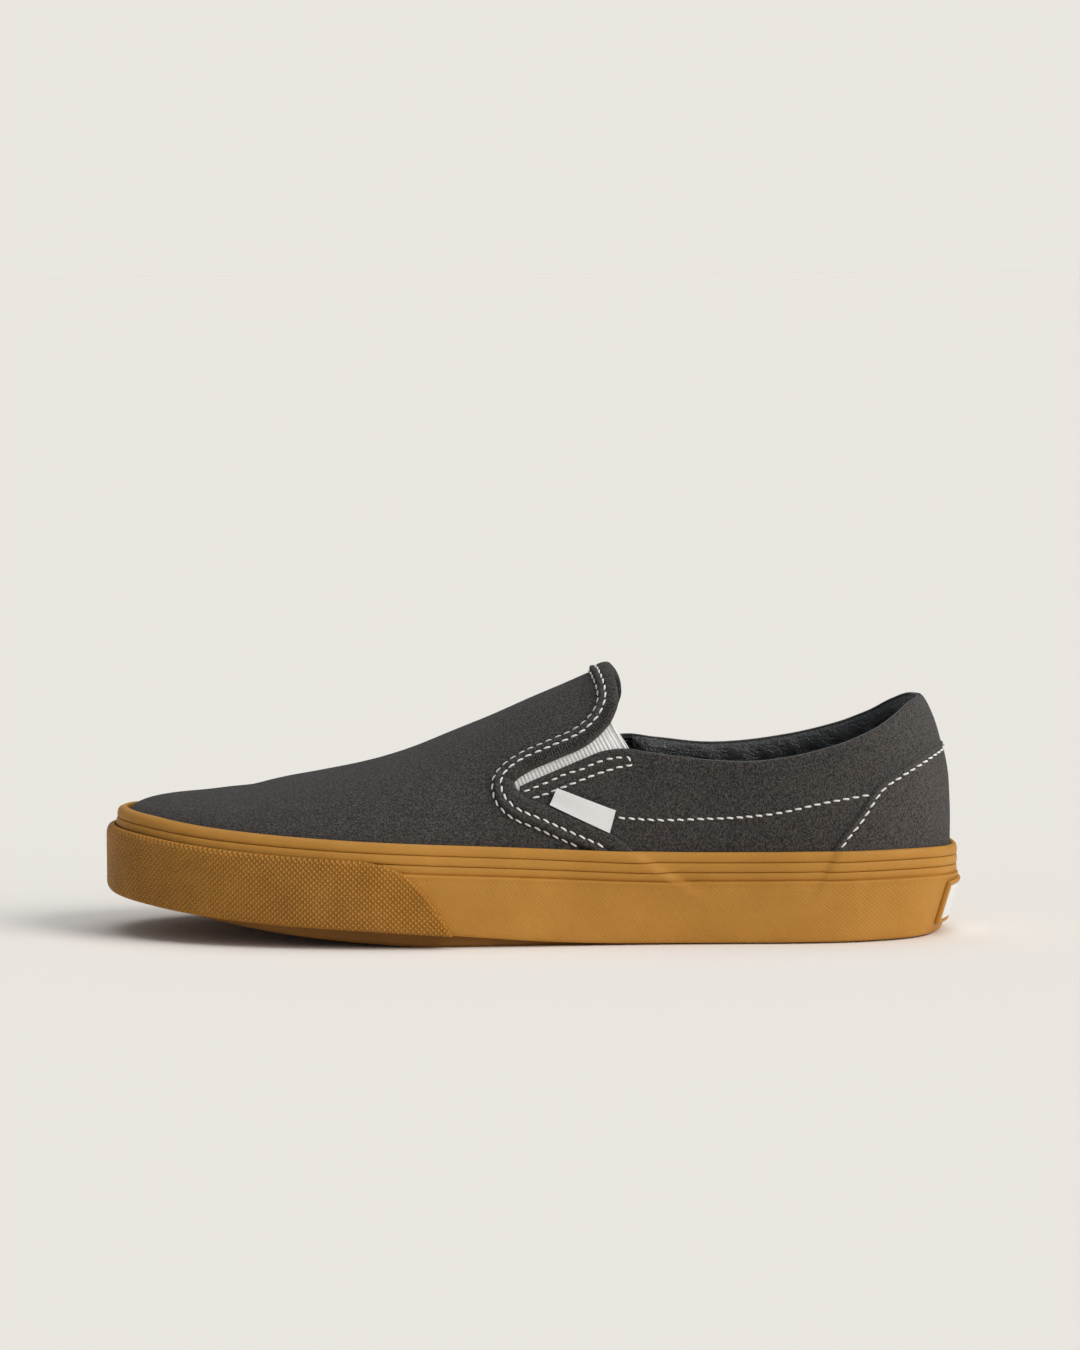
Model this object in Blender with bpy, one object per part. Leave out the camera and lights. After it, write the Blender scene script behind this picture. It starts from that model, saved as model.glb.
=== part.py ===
"""Slip-on sneaker, left shoe, built from sections of a last.

The shoe lies along X with its toe at -X. The outer (lateral) side faces -Y. Z is up and the sole
stands on z = 0. Everything is in metres.
"""
import bmesh
import bpy
import numpy as np

# Driving sizes
LAST_LENGTH = 0.2815
BALL_WIDTH = 0.100
INSTEP_HEIGHT = 0.081
FOXING_HEIGHT = 0.0315
FOXING_THICKNESS = 0.0029
SOLE_THICKNESS = 0.010
SOLE_REACH = 0.0026
HEEL_LIFT = 0.005
TOE_SPRING = 0.0135
HEEL_TUCK = 0.0064

# Walls, gaps and small parts
WALL = 0.0018
GAP = 0.0003
MARGIN = 0.012
OVERLAY = 0.0012
BAND_WIDTH = 0.0063
LEG_WIDTH = 0.0080
GORE_THICKNESS = 0.0012
LINING_THICKNESS = 0.0030
LINING_DEPTH = 0.026
INSOLE_THICKNESS = 0.004
GROOVE_DEPTH = 0.0016
GROOVE_WIDTH = 0.003
GROOVE_PITCH = 0.009
TREAD_RIM = 0.008
BUMPER_THICKNESS = 0.0022
TAB_WIDTH = 0.030
TAB_HEIGHT = 0.0145
TAB_FLOOR = 0.0028
LABEL_THICKNESS = 0.0007

# Middle of the last along X
LAST_CENTRE_X = -0.0006
STATION_COUNT = 76

# Shape of the last at eleven stations from toe to heel, evenly spaced in the half turn that
# walks along each side. The widths are shares of BALL_WIDTH, ridge_x of LAST_LENGTH from the toe,
# ridge_y of BALL_WIDTH and ridge_z of the way from the rubber's top at the toe to INSTEP_HEIGHT.
# crown and wall round each section.
#    lateral medial ridge_x ridge_y ridge_z crown wall
STATIONS = (
    (-0.040, 0.040, 0.092, 0.045, 0.0618, 1.70, 8.0),
    (0.170, 0.250, 0.102, 0.045, 0.0662, 1.80, 6.5),
    (0.350, 0.410, 0.144, 0.040, 0.1000, 1.95, 4.2),
    (0.470, 0.495, 0.228, 0.030, 0.2418, 2.00, 2.7),
    (0.510, 0.470, 0.350, 0.020, 0.4825, 2.00, 2.0),
    (0.455, 0.375, 0.498, 0.010, 0.9708, 2.00, 1.65),
    (0.400, 0.335, 0.630, 0.000, 1.3950, 2.00, 1.85),
    (0.380, 0.350, 0.730, 0.000, 1.6075, 2.00, 2.2),
    (0.340, 0.330, 0.805, 0.000, 1.5400, 2.00, 3.2),
    (0.215, 0.215, 0.862, 0.000, 1.3713, 2.00, 4.4),
    (0.000, 0.000, 0.880, 0.000, 1.2925, 2.00, 5.2),
)

# Edge of the flap seen from the side, from the ridge down to the notch.
#    x share of LAST_LENGTH from the toe, z share of INSTEP_HEIGHT
FLAP_EDGE = (
    (0.5895, 1.200),
    (0.5900, 1.142),
    (0.5945, 1.116),
    (0.6001, 1.083),
    (0.6036, 1.046),
    (0.6047, 1.008),
    (0.6027, 0.970),
    (0.5975, 0.927),
    (0.5930, 0.903),
    (0.5834, 0.867),
    (0.5730, 0.836),
    (0.5574, 0.804),
    (0.5394, 0.778),
    (0.5186, 0.748),
    (0.5030, 0.726),
    (0.4882, 0.696),
    (0.4818, 0.673),
)

# Edge of the quarter and the collar, from the notch to the back of the heel, in the same shares.
COLLAR_EDGE = (
    (0.4825, 0.660),
    (0.4865, 0.652),
    (0.5033, 0.677),
    (0.5214, 0.703),
    (0.5420, 0.733),
    (0.5628, 0.763),
    (0.5810, 0.789),
    (0.5940, 0.800),
    (0.6069, 0.805),
    (0.6200, 0.804),
    (0.6450, 0.790),
    (0.6776, 0.773),
    (0.7254, 0.759),
    (0.7731, 0.761),
    (0.8208, 0.785),
    (0.8686, 0.828),
    (0.8925, 0.858),
    (0.9165, 0.896),
    (0.9408, 0.950),
    (0.9556, 0.984),
    (0.9700, 0.998),
)

# Rear edge of the leg of the vamp's band, from the notch down to the foxing, in the same shares.
LEG_EDGE = (
    (0.4818, 0.673),
    (0.4832, 0.650),
    (0.4895, 0.625),
    (0.4991, 0.602),
    (0.5229, 0.572),
    (0.5500, 0.532),
    (0.5940, 0.466),
    (0.6170, 0.412),
    (0.6290, 0.370),
)

# Upper edge of the heel counter, from its front corner to the back, in the same shares.
COUNTER_EDGE = (
    (0.8600, 0.372),
    (0.8737, 0.443),
    (0.8918, 0.525),
    (0.9159, 0.645),
    (0.9400, 0.703),
    (0.9643, 0.749),
    (0.9829, 0.783),
    (0.9960, 0.800),
)

# Corners of the side label in the same shares, walking round from its upper front corner.
LABEL_CORNERS = ((0.5345, 0.6500), (0.6055, 0.5470), (0.5975, 0.4680), (0.5250, 0.5780))

# Height of the foxing along a side, as shares of FOXING_HEIGHT at places evenly spaced from
# toe to heel.
FOXING_RISE = (0.915, 0.925, 0.955, 0.990, 1.005, 0.990, 0.970, 0.970, 0.970, 0.965, 0.925)

# Rear edge of the toe bumper: x share of LAST_LENGTH from the toe against height, as shares of
# the bumper's own height.
BUMPER_EDGE = (
    (0.4010, 0.00),
    (0.3940, 0.11),
    (0.3780, 0.41),
    (0.3570, 0.65),
    (0.3370, 0.83),
    (0.3150, 0.94),
    (0.2800, 1.00),
)

TOE_X = LAST_CENTRE_X - LAST_LENGTH / 2
TOE_TOP = TOE_SPRING + FOXING_HEIGHT


def closed_spline(values):
    """Values and second derivatives of the smooth closed curve through evenly spaced values."""
    values = np.asarray(values, float)
    count = len(values)
    matrix = np.zeros((count, count))
    rows = np.arange(count)
    matrix[rows, rows] = 4
    matrix[rows, (rows + 1) % count] = 1
    matrix[rows, (rows - 1) % count] = 1
    right = 6 * (np.roll(values, -1, 0) - 2 * values + np.roll(values, 1, 0))
    return values, np.linalg.solve(matrix, right)


def spline_at(spline, a):
    """The closed curve at turn a, where a = 0 is the toe, 1 the heel and 2 the toe again."""
    values, bends = spline
    count = len(values)
    place = (np.asarray(a, float) / 2 % 1) * count
    low = np.floor(place).astype(int) % count
    high = (low + 1) % count
    f = place - np.floor(place)
    g = 1 - f
    curve = (g**3 - g) * bends[low] + (f**3 - f) * bends[high]
    return g * values[low] + f * values[high] + curve / 6


def ring_of(lateral, medial):
    """Closed curve from the values along the lateral side and along the medial side."""
    return closed_spline(list(lateral) + list(medial[-2:0:-1]))


COLUMNS = list(zip(*STATIONS))
EDGE_Y = ring_of([-BALL_WIDTH * v for v in COLUMNS[0]], [BALL_WIDTH * v for v in COLUMNS[1]])
RIDGE_X = ring_of(*[[TOE_X + LAST_LENGTH * v for v in COLUMNS[2]]] * 2)
RIDGE_Y = ring_of(*[[BALL_WIDTH * v for v in COLUMNS[3]]] * 2)
RIDGE_Z = ring_of(*[[TOE_TOP + (INSTEP_HEIGHT - TOE_TOP) * v for v in COLUMNS[4]]] * 2)
CROWN = ring_of(COLUMNS[5], COLUMNS[5])
WALL_SHAPE = ring_of(COLUMNS[6], COLUMNS[6])
RISE = ring_of(FOXING_RISE, FOXING_RISE)


def smooth(x):
    """Smooth step from 0 to 1."""
    x = np.clip(x, 0, 1)
    return x * x * (3 - 2 * x)


def share_x(x):
    """Share of the last's length from the toe."""
    return (np.asarray(x, float) - TOE_X) / LAST_LENGTH


def ground(x):
    """Height of the foxing's lower edge: level from the waist back, sprung to the toe."""
    return TOE_SPRING * np.clip((0.623 - share_x(x)) / 0.623, 0, None) ** 1.9 + 0.0004


def underside(x):
    """Height of the tread: on the floor from the ball back, sprung to the toe."""
    return np.maximum(ground(x) - SOLE_REACH * smooth(share_x(x) / 0.25), 0)


def feather(x):
    """Height of the edge where the upper turns in."""
    return ground(x) + SOLE_THICKNESS + HEEL_LIFT * smooth((share_x(x) - 0.39) / 0.36)


def tuck(x, height):
    """How far the heel's back leans in at a height over the foxing's lower edge."""
    lean = np.clip(1 - height / (0.667 * FOXING_HEIGHT), 0, 1)
    return HEEL_TUCK * smooth((share_x(x) - 0.80) / 0.18) * lean


def edge(a):
    """Plan outline of the last at turn a."""
    a = np.asarray(a, float)
    return LAST_CENTRE_X - np.cos(np.pi * a) * LAST_LENGTH / 2, spline_at(EDGE_Y, a)


def section(a, v):
    """Point of the last: v runs from the feather edge (0) to the ridge (1)."""
    a, v = np.broadcast_arrays(np.asarray(a, float), np.asarray(v, float))
    ex, ey = edge(a)
    rx, ry, rz = spline_at(RIDGE_X, a), spline_at(RIDGE_Y, a), spline_at(RIDGE_Z, a)
    p, q = spline_at(CROWN, a), spline_at(WALL_SHAPE, a)
    foot = feather(ex)
    angle = np.clip(v, 0, 1) * np.pi / 2
    out, up = np.cos(angle), np.sin(angle)
    low, high = np.full(a.shape, 0.5), np.full(a.shape, 1.5)
    for _ in range(34):
        mid = (low + high) / 2
        over = (mid * out) ** p + (mid * up) ** q > 1
        high = np.where(over, mid, high)
        low = np.where(over, low, mid)
    r = (low + high) / 2
    z = foot + (rz - foot) * r * up
    x = rx + (ex - rx) * r * out
    y = ry + (ey - ry) * r * out
    return np.stack([x - tuck(ex, z - ground(ex)), y, z], -1)


def rise_of(a, z):
    """The v at which the section at turn a reaches height z."""
    ex, ey = edge(a)
    rz = spline_at(RIDGE_Z, a)
    p, q = spline_at(CROWN, a), spline_at(WALL_SHAPE, a)
    foot = feather(ex)
    up = np.clip((z - foot) / (rz - foot), 0, 1)
    out = (1 - up**q) ** (1 / p)
    return np.arctan2(up, out) / (np.pi / 2)


def facing(a, v):
    """Outward unit normal of the last."""
    step = 1e-3
    along = section(a + step, v) - section(a - step, v)
    low = np.clip(v - step, 0, 1)
    high = np.clip(v + step, 0, 1)
    over = (v + step > 1)[..., None]
    upper = np.where(over, section(2 - a, np.clip(2 - v - step, 0, 1)), section(a, high))
    normal = np.cross(along, upper - section(a, low))
    size = np.linalg.norm(normal, axis=-1, keepdims=True)
    level = np.zeros(normal.shape)
    level[..., 2] = 1
    return np.where(size > 1e-12, normal / np.maximum(size, 1e-12), level)


def skin(a, v, offset=0.0):
    """Point of the last moved out along its normal."""
    a, v = np.broadcast_arrays(np.asarray(a, float), np.asarray(v, float))
    offset = np.broadcast_to(np.asarray(offset, float), a.shape)
    return section(a, v) + facing(a, v) * offset[..., None]


def wrap(a, z, offset):
    """Point beside the last at height z, moved out level so that its wall is offset away."""
    a, z = np.broadcast_arrays(np.asarray(a, float), np.asarray(z, float))
    offset = np.broadcast_to(np.asarray(offset, float), a.shape)
    v = rise_of(a, z)
    point = section(a, v)
    normal = facing(a, np.clip(v, 0.002, 1))[..., :2]
    size = np.linalg.norm(normal, axis=-1, keepdims=True)
    level = normal / size / np.clip(size, 0.5, 1)
    ex, ey = edge(a)
    sunk = tuck(ex, z - ground(ex)) - tuck(ex, point[..., 2] - ground(ex))
    x = point[..., 0] + level[..., 0] * offset - sunk
    y = point[..., 1] + level[..., 1] * offset
    return np.stack([x, y, z], -1)


def on_side(x, z, side=-1):
    """Turn and v of the point of one side seen at x, z from that side."""
    x, z = np.broadcast_arrays(np.asarray(x, float), np.asarray(z, float))
    low, high = np.zeros(x.shape), np.ones(x.shape)
    for _ in range(36):
        middle = (low + high) / 2
        a = middle if side < 0 else 2 - middle
        behind = section(a, rise_of(a, z))[..., 0] < x
        low = np.where(behind, middle, low)
        high = np.where(behind, high, middle)
    middle = (low + high) / 2
    a = middle if side < 0 else 2 - middle
    return a, rise_of(a, z)


def flow(points, count):
    """Smooth open curve through the points, with count points evenly spaced along it."""
    points = np.asarray(points, float)
    padded = np.vstack([2 * points[0] - points[1], points, 2 * points[-1] - points[-2]])
    t = np.linspace(0, 1, 12, endpoint=False)[:, None]
    runs = []
    for i in range(len(points) - 1):
        a, b, c, d = padded[i : i + 4]
        bend = (2 * a - 5 * b + 4 * c - d) * t**2 + (3 * b - a - 3 * c + d) * t**3
        runs.append(0.5 * (2 * b + (c - a) * t + bend))
    runs.append(points[-1:])
    dense = np.vstack(runs)
    length = np.concatenate([[0], np.cumsum(np.linalg.norm(np.diff(dense, axis=0), axis=1))])
    places = np.linspace(0, length[-1], count)
    return np.stack([np.interp(places, length, dense[:, i]) for i in range(points.shape[1])], -1)


def side_table(table):
    """Points in metres from a table of shares."""
    table = np.asarray(table, float)
    return np.stack([TOE_X + LAST_LENGTH * table[:, 0], INSTEP_HEIGHT * table[:, 1]], -1)


def foxing_top(a):
    """Height of the foxing's upper edge."""
    return ground(edge(a)[0]) + FOXING_HEIGHT * spline_at(RISE, a)


def collar_height(x):
    """Height of the collar's edge at x, behind the notch."""
    line = flow(side_table(COLLAR_EDGE), 200)
    start = np.argmax(line[:, 0] > TOE_X + LAST_LENGTH * 0.60)
    return np.interp(x, line[start:, 0], line[start:, 1])


def material(name, colour, roughness):
    """Principled material."""
    made = bpy.data.materials.new(name)
    made.use_nodes = True
    shader = made.node_tree.nodes["Principled BSDF"]
    shader.inputs["Base Color"].default_value = (*colour, 1)
    shader.inputs["Roughness"].default_value = roughness
    made.diffuse_color = (*colour, 1)
    return made


def solid(name, verts, faces, group, look=None):
    """Closed mesh object facing outwards."""
    mesh = bpy.data.meshes.new(name)
    mesh.from_pydata([tuple(v) for v in verts], [], faces)
    work = bmesh.new()
    work.from_mesh(mesh)
    bmesh.ops.remove_doubles(work, verts=work.verts, dist=1e-6)
    bmesh.ops.dissolve_degenerate(work, edges=work.edges, dist=1e-7)
    bmesh.ops.recalc_face_normals(work, faces=work.faces)
    work.to_mesh(mesh)
    work.free()
    for face in mesh.polygons:
        face.use_smooth = True
    mesh.set_sharp_from_angle(angle=np.radians(35))
    made = bpy.data.objects.new(name, mesh)
    group.objects.link(made)
    if look is not None:
        mesh.materials.append(look)
    return made


def slab(name, under, over, group, look, closed=False):
    """Solid between two grids of points. The first axis may close on itself."""
    rows, columns = under.shape[:2]
    verts = np.vstack([under.reshape(-1, 3), over.reshape(-1, 3)])
    size = rows * columns
    faces = []
    spans = rows if closed else rows - 1
    for i in range(spans):
        k = (i + 1) % rows
        for j in range(columns - 1):
            quad = (i * columns + j, i * columns + j + 1, k * columns + j + 1, k * columns + j)
            faces.append(quad)
            faces.append(tuple(size + n for n in reversed(quad)))
        for j in (0, columns - 1):
            faces.append((i * columns + j, k * columns + j, size + k * columns + j, size + i * columns + j))
    if not closed:
        for i in (0, rows - 1):
            for j in range(columns - 1):
                m = i * columns + j
                faces.append((m, m + 1, size + m + 1, size + m))
    return solid(name, verts, faces, group, look)


def tube(name, rings, group, look):
    """Solid swept by a closed profile round a closed path: rings[path, profile]."""
    count, points = rings.shape[:2]
    faces = []
    for i in range(count):
        k = (i + 1) % count
        for j in range(points):
            n = (j + 1) % points
            faces.append((i * points + j, k * points + j, k * points + n, i * points + n))
    return solid(name, rings.reshape(-1, 3), faces, group, look)


def turns(count=STATION_COUNT):
    """Evenly spaced turns round the whole shoe."""
    return np.arange(count) * 2 / count


def build_upper(group, look, cutters):
    """Hollow wall with its margin turned in, cut open along the throat and the collar."""
    a = turns()
    rise = np.array([0.08, 0.18, 0.28, 0.38, 0.48, 0.58, 0.68, 0.79, 0.90, 1.0])
    outer = [wrap(a, feather(edge(a)[0]) + 0.0006, 0.0)]
    inner = [wrap(a, feather(edge(a)[0]) + WALL, -WALL)]
    for v in rise:
        outer.append(skin(a, np.full(a.shape, v), 0.0))
        inner.append(skin(a, np.full(a.shape, v), -WALL))
    for side, row in ((outer, 0.0), (inner, WALL)):
        for inset in (0.0008 if row == 0.0 else WALL + 0.004, MARGIN):
            flat = wrap(a, feather(edge(a)[0]), -inset)
            flat[:, 2] = feather(flat[:, 0]) + row
            side.insert(0, flat)
    inner[1][:, 2] = feather(inner[1][:, 0]) + WALL
    for i in range(1, len(a) // 2):
        k = len(a) - i
        middle = (inner[-1][i] + inner[-1][k]) / 2
        inner[-1][i] = middle
        inner[-1][k] = middle
    under = np.stack(inner, 1)
    over = np.stack(outer, 1)
    count, rows = under.shape[:2]
    verts = np.vstack([under.reshape(-1, 3), over.reshape(-1, 3)])
    size = count * rows
    faces = []
    for i in range(count):
        k = (i + 1) % count
        for j in range(rows - 1):
            quad = (i * rows + j, i * rows + j + 1, k * rows + j + 1, k * rows + j)
            faces.append(quad)
            faces.append(tuple(size + n for n in reversed(quad)))
        faces.append((i * rows, k * rows, size + k * rows, size + i * rows))
    shoe = solid("upper", verts, faces, group, look)
    flap = flow(side_table(FLAP_EDGE), 36)
    collar = flow(side_table(COLLAR_EDGE), 56)
    top = INSTEP_HEIGHT * 1.9
    back = TOE_X + LAST_LENGTH * 1.12
    line = np.vstack([[flap[0, 0] - 0.002, top], flap, collar, [back, collar[-1, 1] + 0.0015], [back, top]])
    prism("throat_cutter", line, cutters)
    cut = shoe.modifiers.new("throat", "BOOLEAN")
    cut.operation = "DIFFERENCE"
    cut.solver = "EXACT"
    cut.object = bpy.data.objects["throat_cutter"]
    return shoe


def prism(name, line, cutters):
    """Cutter with the given outline seen from the side, reaching across the shoe."""
    count = len(line)
    verts = [(x, s * BALL_WIDTH, z) for s in (-1, 1) for x, z in line]
    faces = [tuple(range(count)), tuple(range(2 * count - 1, count - 1, -1))]
    for i in range(count):
        k = (i + 1) % count
        faces.append((i, i + count, k + count, k))
    made = solid(name, verts, faces, cutters)
    made.hide_render = True
    made.display_type = "WIRE"
    return made


def across(a, z, offset, columns):
    """Rows of points across the shoe from the lateral to the medial side, toe to heel."""
    near = wrap(a, z, offset)
    far = wrap(2 - a, z, offset)
    t = np.linspace(0, 1, columns)[None, :, None]
    return near[:, None] * (1 - t) + far[:, None] * t


def plate(name, levels, group, look, columns=3):
    """Solid with the plan outline of the last. levels are (offset, height) pairs upwards."""
    a = np.linspace(0, 1, STATION_COUNT // 2 + 1)
    a[0] = 0.004
    a[-1] = 0.996
    grids = [across(a, height(edge(a)[0]), offset, columns) for offset, height in levels]
    for grid, (offset, height) in zip(grids, levels):
        grid[..., 2] = height(grid[..., 0])
    rows = len(a)
    verts = []
    faces = []
    loops = []
    for grid in grids:
        start = len(verts)
        index = np.arange(rows * columns).reshape(rows, columns) + start
        verts.extend(grid.reshape(-1, 3))
        loop = list(index[:, 0]) + list(index[-1, 1:-1]) + list(index[::-1, -1]) + list(index[0, -2:0:-1])
        loops.append(loop)
        if grid is grids[0] or grid is grids[-1]:
            for i in range(rows - 1):
                for j in range(columns - 1):
                    quad = (index[i, j], index[i + 1, j], index[i + 1, j + 1], index[i, j + 1])
                    faces.append(tuple(int(n) for n in quad))
    for low, high in zip(loops[:-1], loops[1:]):
        for i in range(len(low)):
            k = (i + 1) % len(low)
            faces.append((int(low[i]), int(low[k]), int(high[k]), int(high[i])))
    used = sorted({n for face in faces for n in face})
    place = {n: i for i, n in enumerate(used)}
    verts = [verts[n] for n in used]
    faces = [tuple(place[n] for n in face) for face in faces]
    return solid(name, verts, faces, group, look)


def build_outsole(group, look, cutters):
    """Tread plate with cross grooves inside a rim."""
    levels = (
        (-0.0012, underside),
        (-0.0002, lambda x: underside(x) + 0.0010),
        (0.0, lambda x: feather(x) - GAP),
    )
    sole = plate("outsole", levels, group, look)
    verts = []
    faces = []
    fore = np.arange(0.075, 0.46, GROOVE_PITCH / LAST_LENGTH)
    rear = np.arange(0.69, 0.93, GROOVE_PITCH / LAST_LENGTH)
    for share in np.concatenate([fore, rear]):
        x = TOE_X + LAST_LENGTH * share
        a = np.arccos(np.clip((LAST_CENTRE_X - x) / (LAST_LENGTH / 2), -1, 1)) / np.pi
        left = edge(a)[1] + TREAD_RIM
        right = edge(2 - a)[1] - TREAD_RIM
        start = len(verts)
        for dx in (-GROOVE_WIDTH / 2, GROOVE_WIDTH / 2):
            roof = underside(x + dx) + GROOVE_DEPTH
            verts += [(x + dx, left, -0.005), (x + dx, right, -0.005), (x + dx, right, roof), (x + dx, left, roof)]
        box = ((0, 1, 2, 3), (7, 6, 5, 4), (0, 4, 5, 1), (1, 5, 6, 2), (2, 6, 7, 3), (3, 7, 4, 0))
        faces += [tuple(start + n for n in face) for face in box]
    made = solid("tread_cutter", verts, faces, cutters)
    made.hide_render = True
    made.display_type = "WIRE"
    cut = sole.modifiers.new("tread", "BOOLEAN")
    cut.operation = "DIFFERENCE"
    cut.solver = "EXACT"
    cut.object = made
    return sole


def foxing_face(a):
    """Offset of the foxing's main face, thicker at the toe and where the heel strip laps it."""
    share = share_x(edge(a)[0])
    toe = smooth((0.055 - share) / 0.05)
    heel = smooth((share - 0.93) / 0.05)
    return FOXING_THICKNESS + 0.0009 * toe + 0.0013 * heel


def build_foxing(group, look):
    """Band round the sole with a main face, a step and two ribs."""
    a = turns()
    base = ground(edge(a)[0])
    top = foxing_top(a)
    foot = feather(edge(a)[0])
    face = foxing_face(a)
    profile = (
        (GAP, base),
        (face - 0.0012, base),
        (face, base + 0.0012),
        (face, top - 0.0104),
        (face - 0.0007, top - 0.0099),
        (face - 0.0006, top - 0.0071),
        (face - 0.0010, top - 0.0068),
        (face - 0.0006, top - 0.0065),
        (face - 0.0007, top - 0.0038),
        (face - 0.0011, top - 0.0035),
        (face - 0.0007, top - 0.0032),
        (face - 0.0009, top - 0.0006),
        (face - 0.0014, top),
        (GAP, top),
    )
    rows = [wrap(a, z, offset) for offset, z in profile]
    for share in (0.80, 0.60, 0.35):
        rows.append(wrap(a, section(a, rise_of(a, top) * share)[:, 2], GAP))
    rows.append(wrap(a, foot, GAP))
    rings = np.stack(rows, 1)
    return tube("foxing", rings, group, look)


def bumper_grid(profile, columns):
    """Grid over the toe: rows of (offset, share of the bumper's height), ends on the swept edge."""
    edge_x = TOE_X + LAST_LENGTH * np.array([row[0] for row in BUMPER_EDGE])
    edge_h = np.array([row[1] for row in BUMPER_EDGE])
    rows = []
    for offset, height in profile:
        end_x = np.interp(min(height, 0.999), edge_h, edge_x)
        reach = np.arccos((LAST_CENTRE_X - end_x) / (LAST_LENGTH / 2)) / np.pi
        a = reach * np.linspace(-1, 1, columns)
        base = ground(edge(a)[0])
        rows.append(wrap(a, base + (foxing_top(a) - 0.006 - base) * height, foxing_face(a) + offset))
    return np.stack(rows, 1)


def build_bumper(group, look):
    """Cap over the foxing at the toe."""
    inner = GAP
    outer = inner + BUMPER_THICKNESS
    heights = (0.0, 0.05, 0.22, 0.41, 0.65, 0.83, 0.92, 0.97, 1.0)
    shift = (-0.0008, 0.0, 0.0, 0.0, 0.0, 0.0, -0.0003, -0.0009, -0.0016)
    under = [(inner, h) for h in heights]
    over = [(outer + s, h) for s, h in zip(shift, heights)]
    return slab("toe_bumper", bumper_grid(under, 33), bumper_grid(over, 33), group, look)


def heel_grid(across_shares, up_shares, offset):
    """Grid on the back of the foxing over the heel tab's area. offset may be a grid."""
    y = np.asarray(across_shares, float)
    table = np.linspace(0.85, 1.15, 121)
    a = np.interp(y * TAB_WIDTH, edge(table)[1], table)
    z = ground(0.0) + TAB_FLOOR + TAB_HEIGHT * np.asarray(up_shares, float)
    grid_a, grid_z = np.meshgrid(a, z, indexing="ij")
    return wrap(grid_a, grid_z, offset)


def build_tab(group, look, pale):
    """Rubber plate with a raised rim, and the blank plate inside it."""
    face = float(foxing_face(1.0)) + GAP
    u = np.array([-0.5, -0.47, -0.42, -0.40, -0.2, 0.0, 0.2, 0.40, 0.42, 0.47, 0.5])
    v = np.array([0.0, 0.05, 0.13, 0.16, 0.5, 0.84, 0.87, 0.95, 1.0])
    inside = np.outer(np.abs(u) <= 0.401, (v > 0.15) & (v < 0.85))
    rim = np.full(inside.shape, face + 0.0012)
    rim[0, :] = rim[-1, :] = face + 0.0008
    rim[:, 0] = rim[:, -1] = face + 0.0008
    over = np.where(inside, face + 0.0007, rim)
    made = [slab("heel_tab", heel_grid(u, v, face), heel_grid(u, v, over), group, look)]
    u = np.array([-0.385, -0.2, 0.0, 0.2, 0.385])
    v = np.array([0.19, 0.5, 0.81])
    low, high = face + 0.0007 + GAP, face + 0.0007 + GAP + 0.0005
    made.append(slab("heel_tab_insert", heel_grid(u, v, low), heel_grid(u, v, high), group, pale))
    return made


def locate(target, a, v):
    """Turn and v of the skin's points nearest to the targets, starting from a guess."""
    for _ in range(10):
        step = 1e-4
        here = section(a, v)
        along = (section(a + step, v) - section(a - step, v)) / (2 * step)
        rise = (section(a, np.clip(v, 0, 1 - step) + step) - section(a, np.clip(v, 0, 1 - step))) / step
        miss = target - here
        aa = (along * along).sum(-1)
        rr = (rise * rise).sum(-1)
        ar = (along * rise).sum(-1)
        ma = (miss * along).sum(-1)
        mr = (miss * rise).sum(-1)
        det = np.maximum(aa * rr - ar * ar, 1e-18)
        a = a + np.clip((ma * rr - mr * ar) / det, -0.05, 0.05)
        v = np.clip(v + np.clip((mr * aa - ma * ar) / det, -0.05, 0.05), 0, 0.9995)
    return a, v


def band_edge(side, count):
    """Turn and v along the band's rear edge from the ridge to the foxing, on one side."""
    line = np.vstack([side_table(FLAP_EDGE)[2:-1], side_table(LEG_EDGE)])
    line = flow(line, count)
    a, v = on_side(line[:, 0], line[:, 1], side)
    return a, v


def band_half(side, count):
    """Rear and front edge of the band on one side: arrays of turns and vs."""
    a, v = band_edge(side, count)
    base = section(a, v)
    tangent = np.gradient(base, axis=0)
    tangent /= np.linalg.norm(tangent, axis=1, keepdims=True)
    inward = np.cross(tangent, facing(a, v)) * -side
    share = np.linspace(0, 1, count)
    width = BAND_WIDTH + (LEG_WIDTH - BAND_WIDTH) * smooth((share - 0.62) / 0.15)
    fa, fv = locate(base + inward * width[:, None], a, v)
    return a, v, fa, fv


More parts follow.
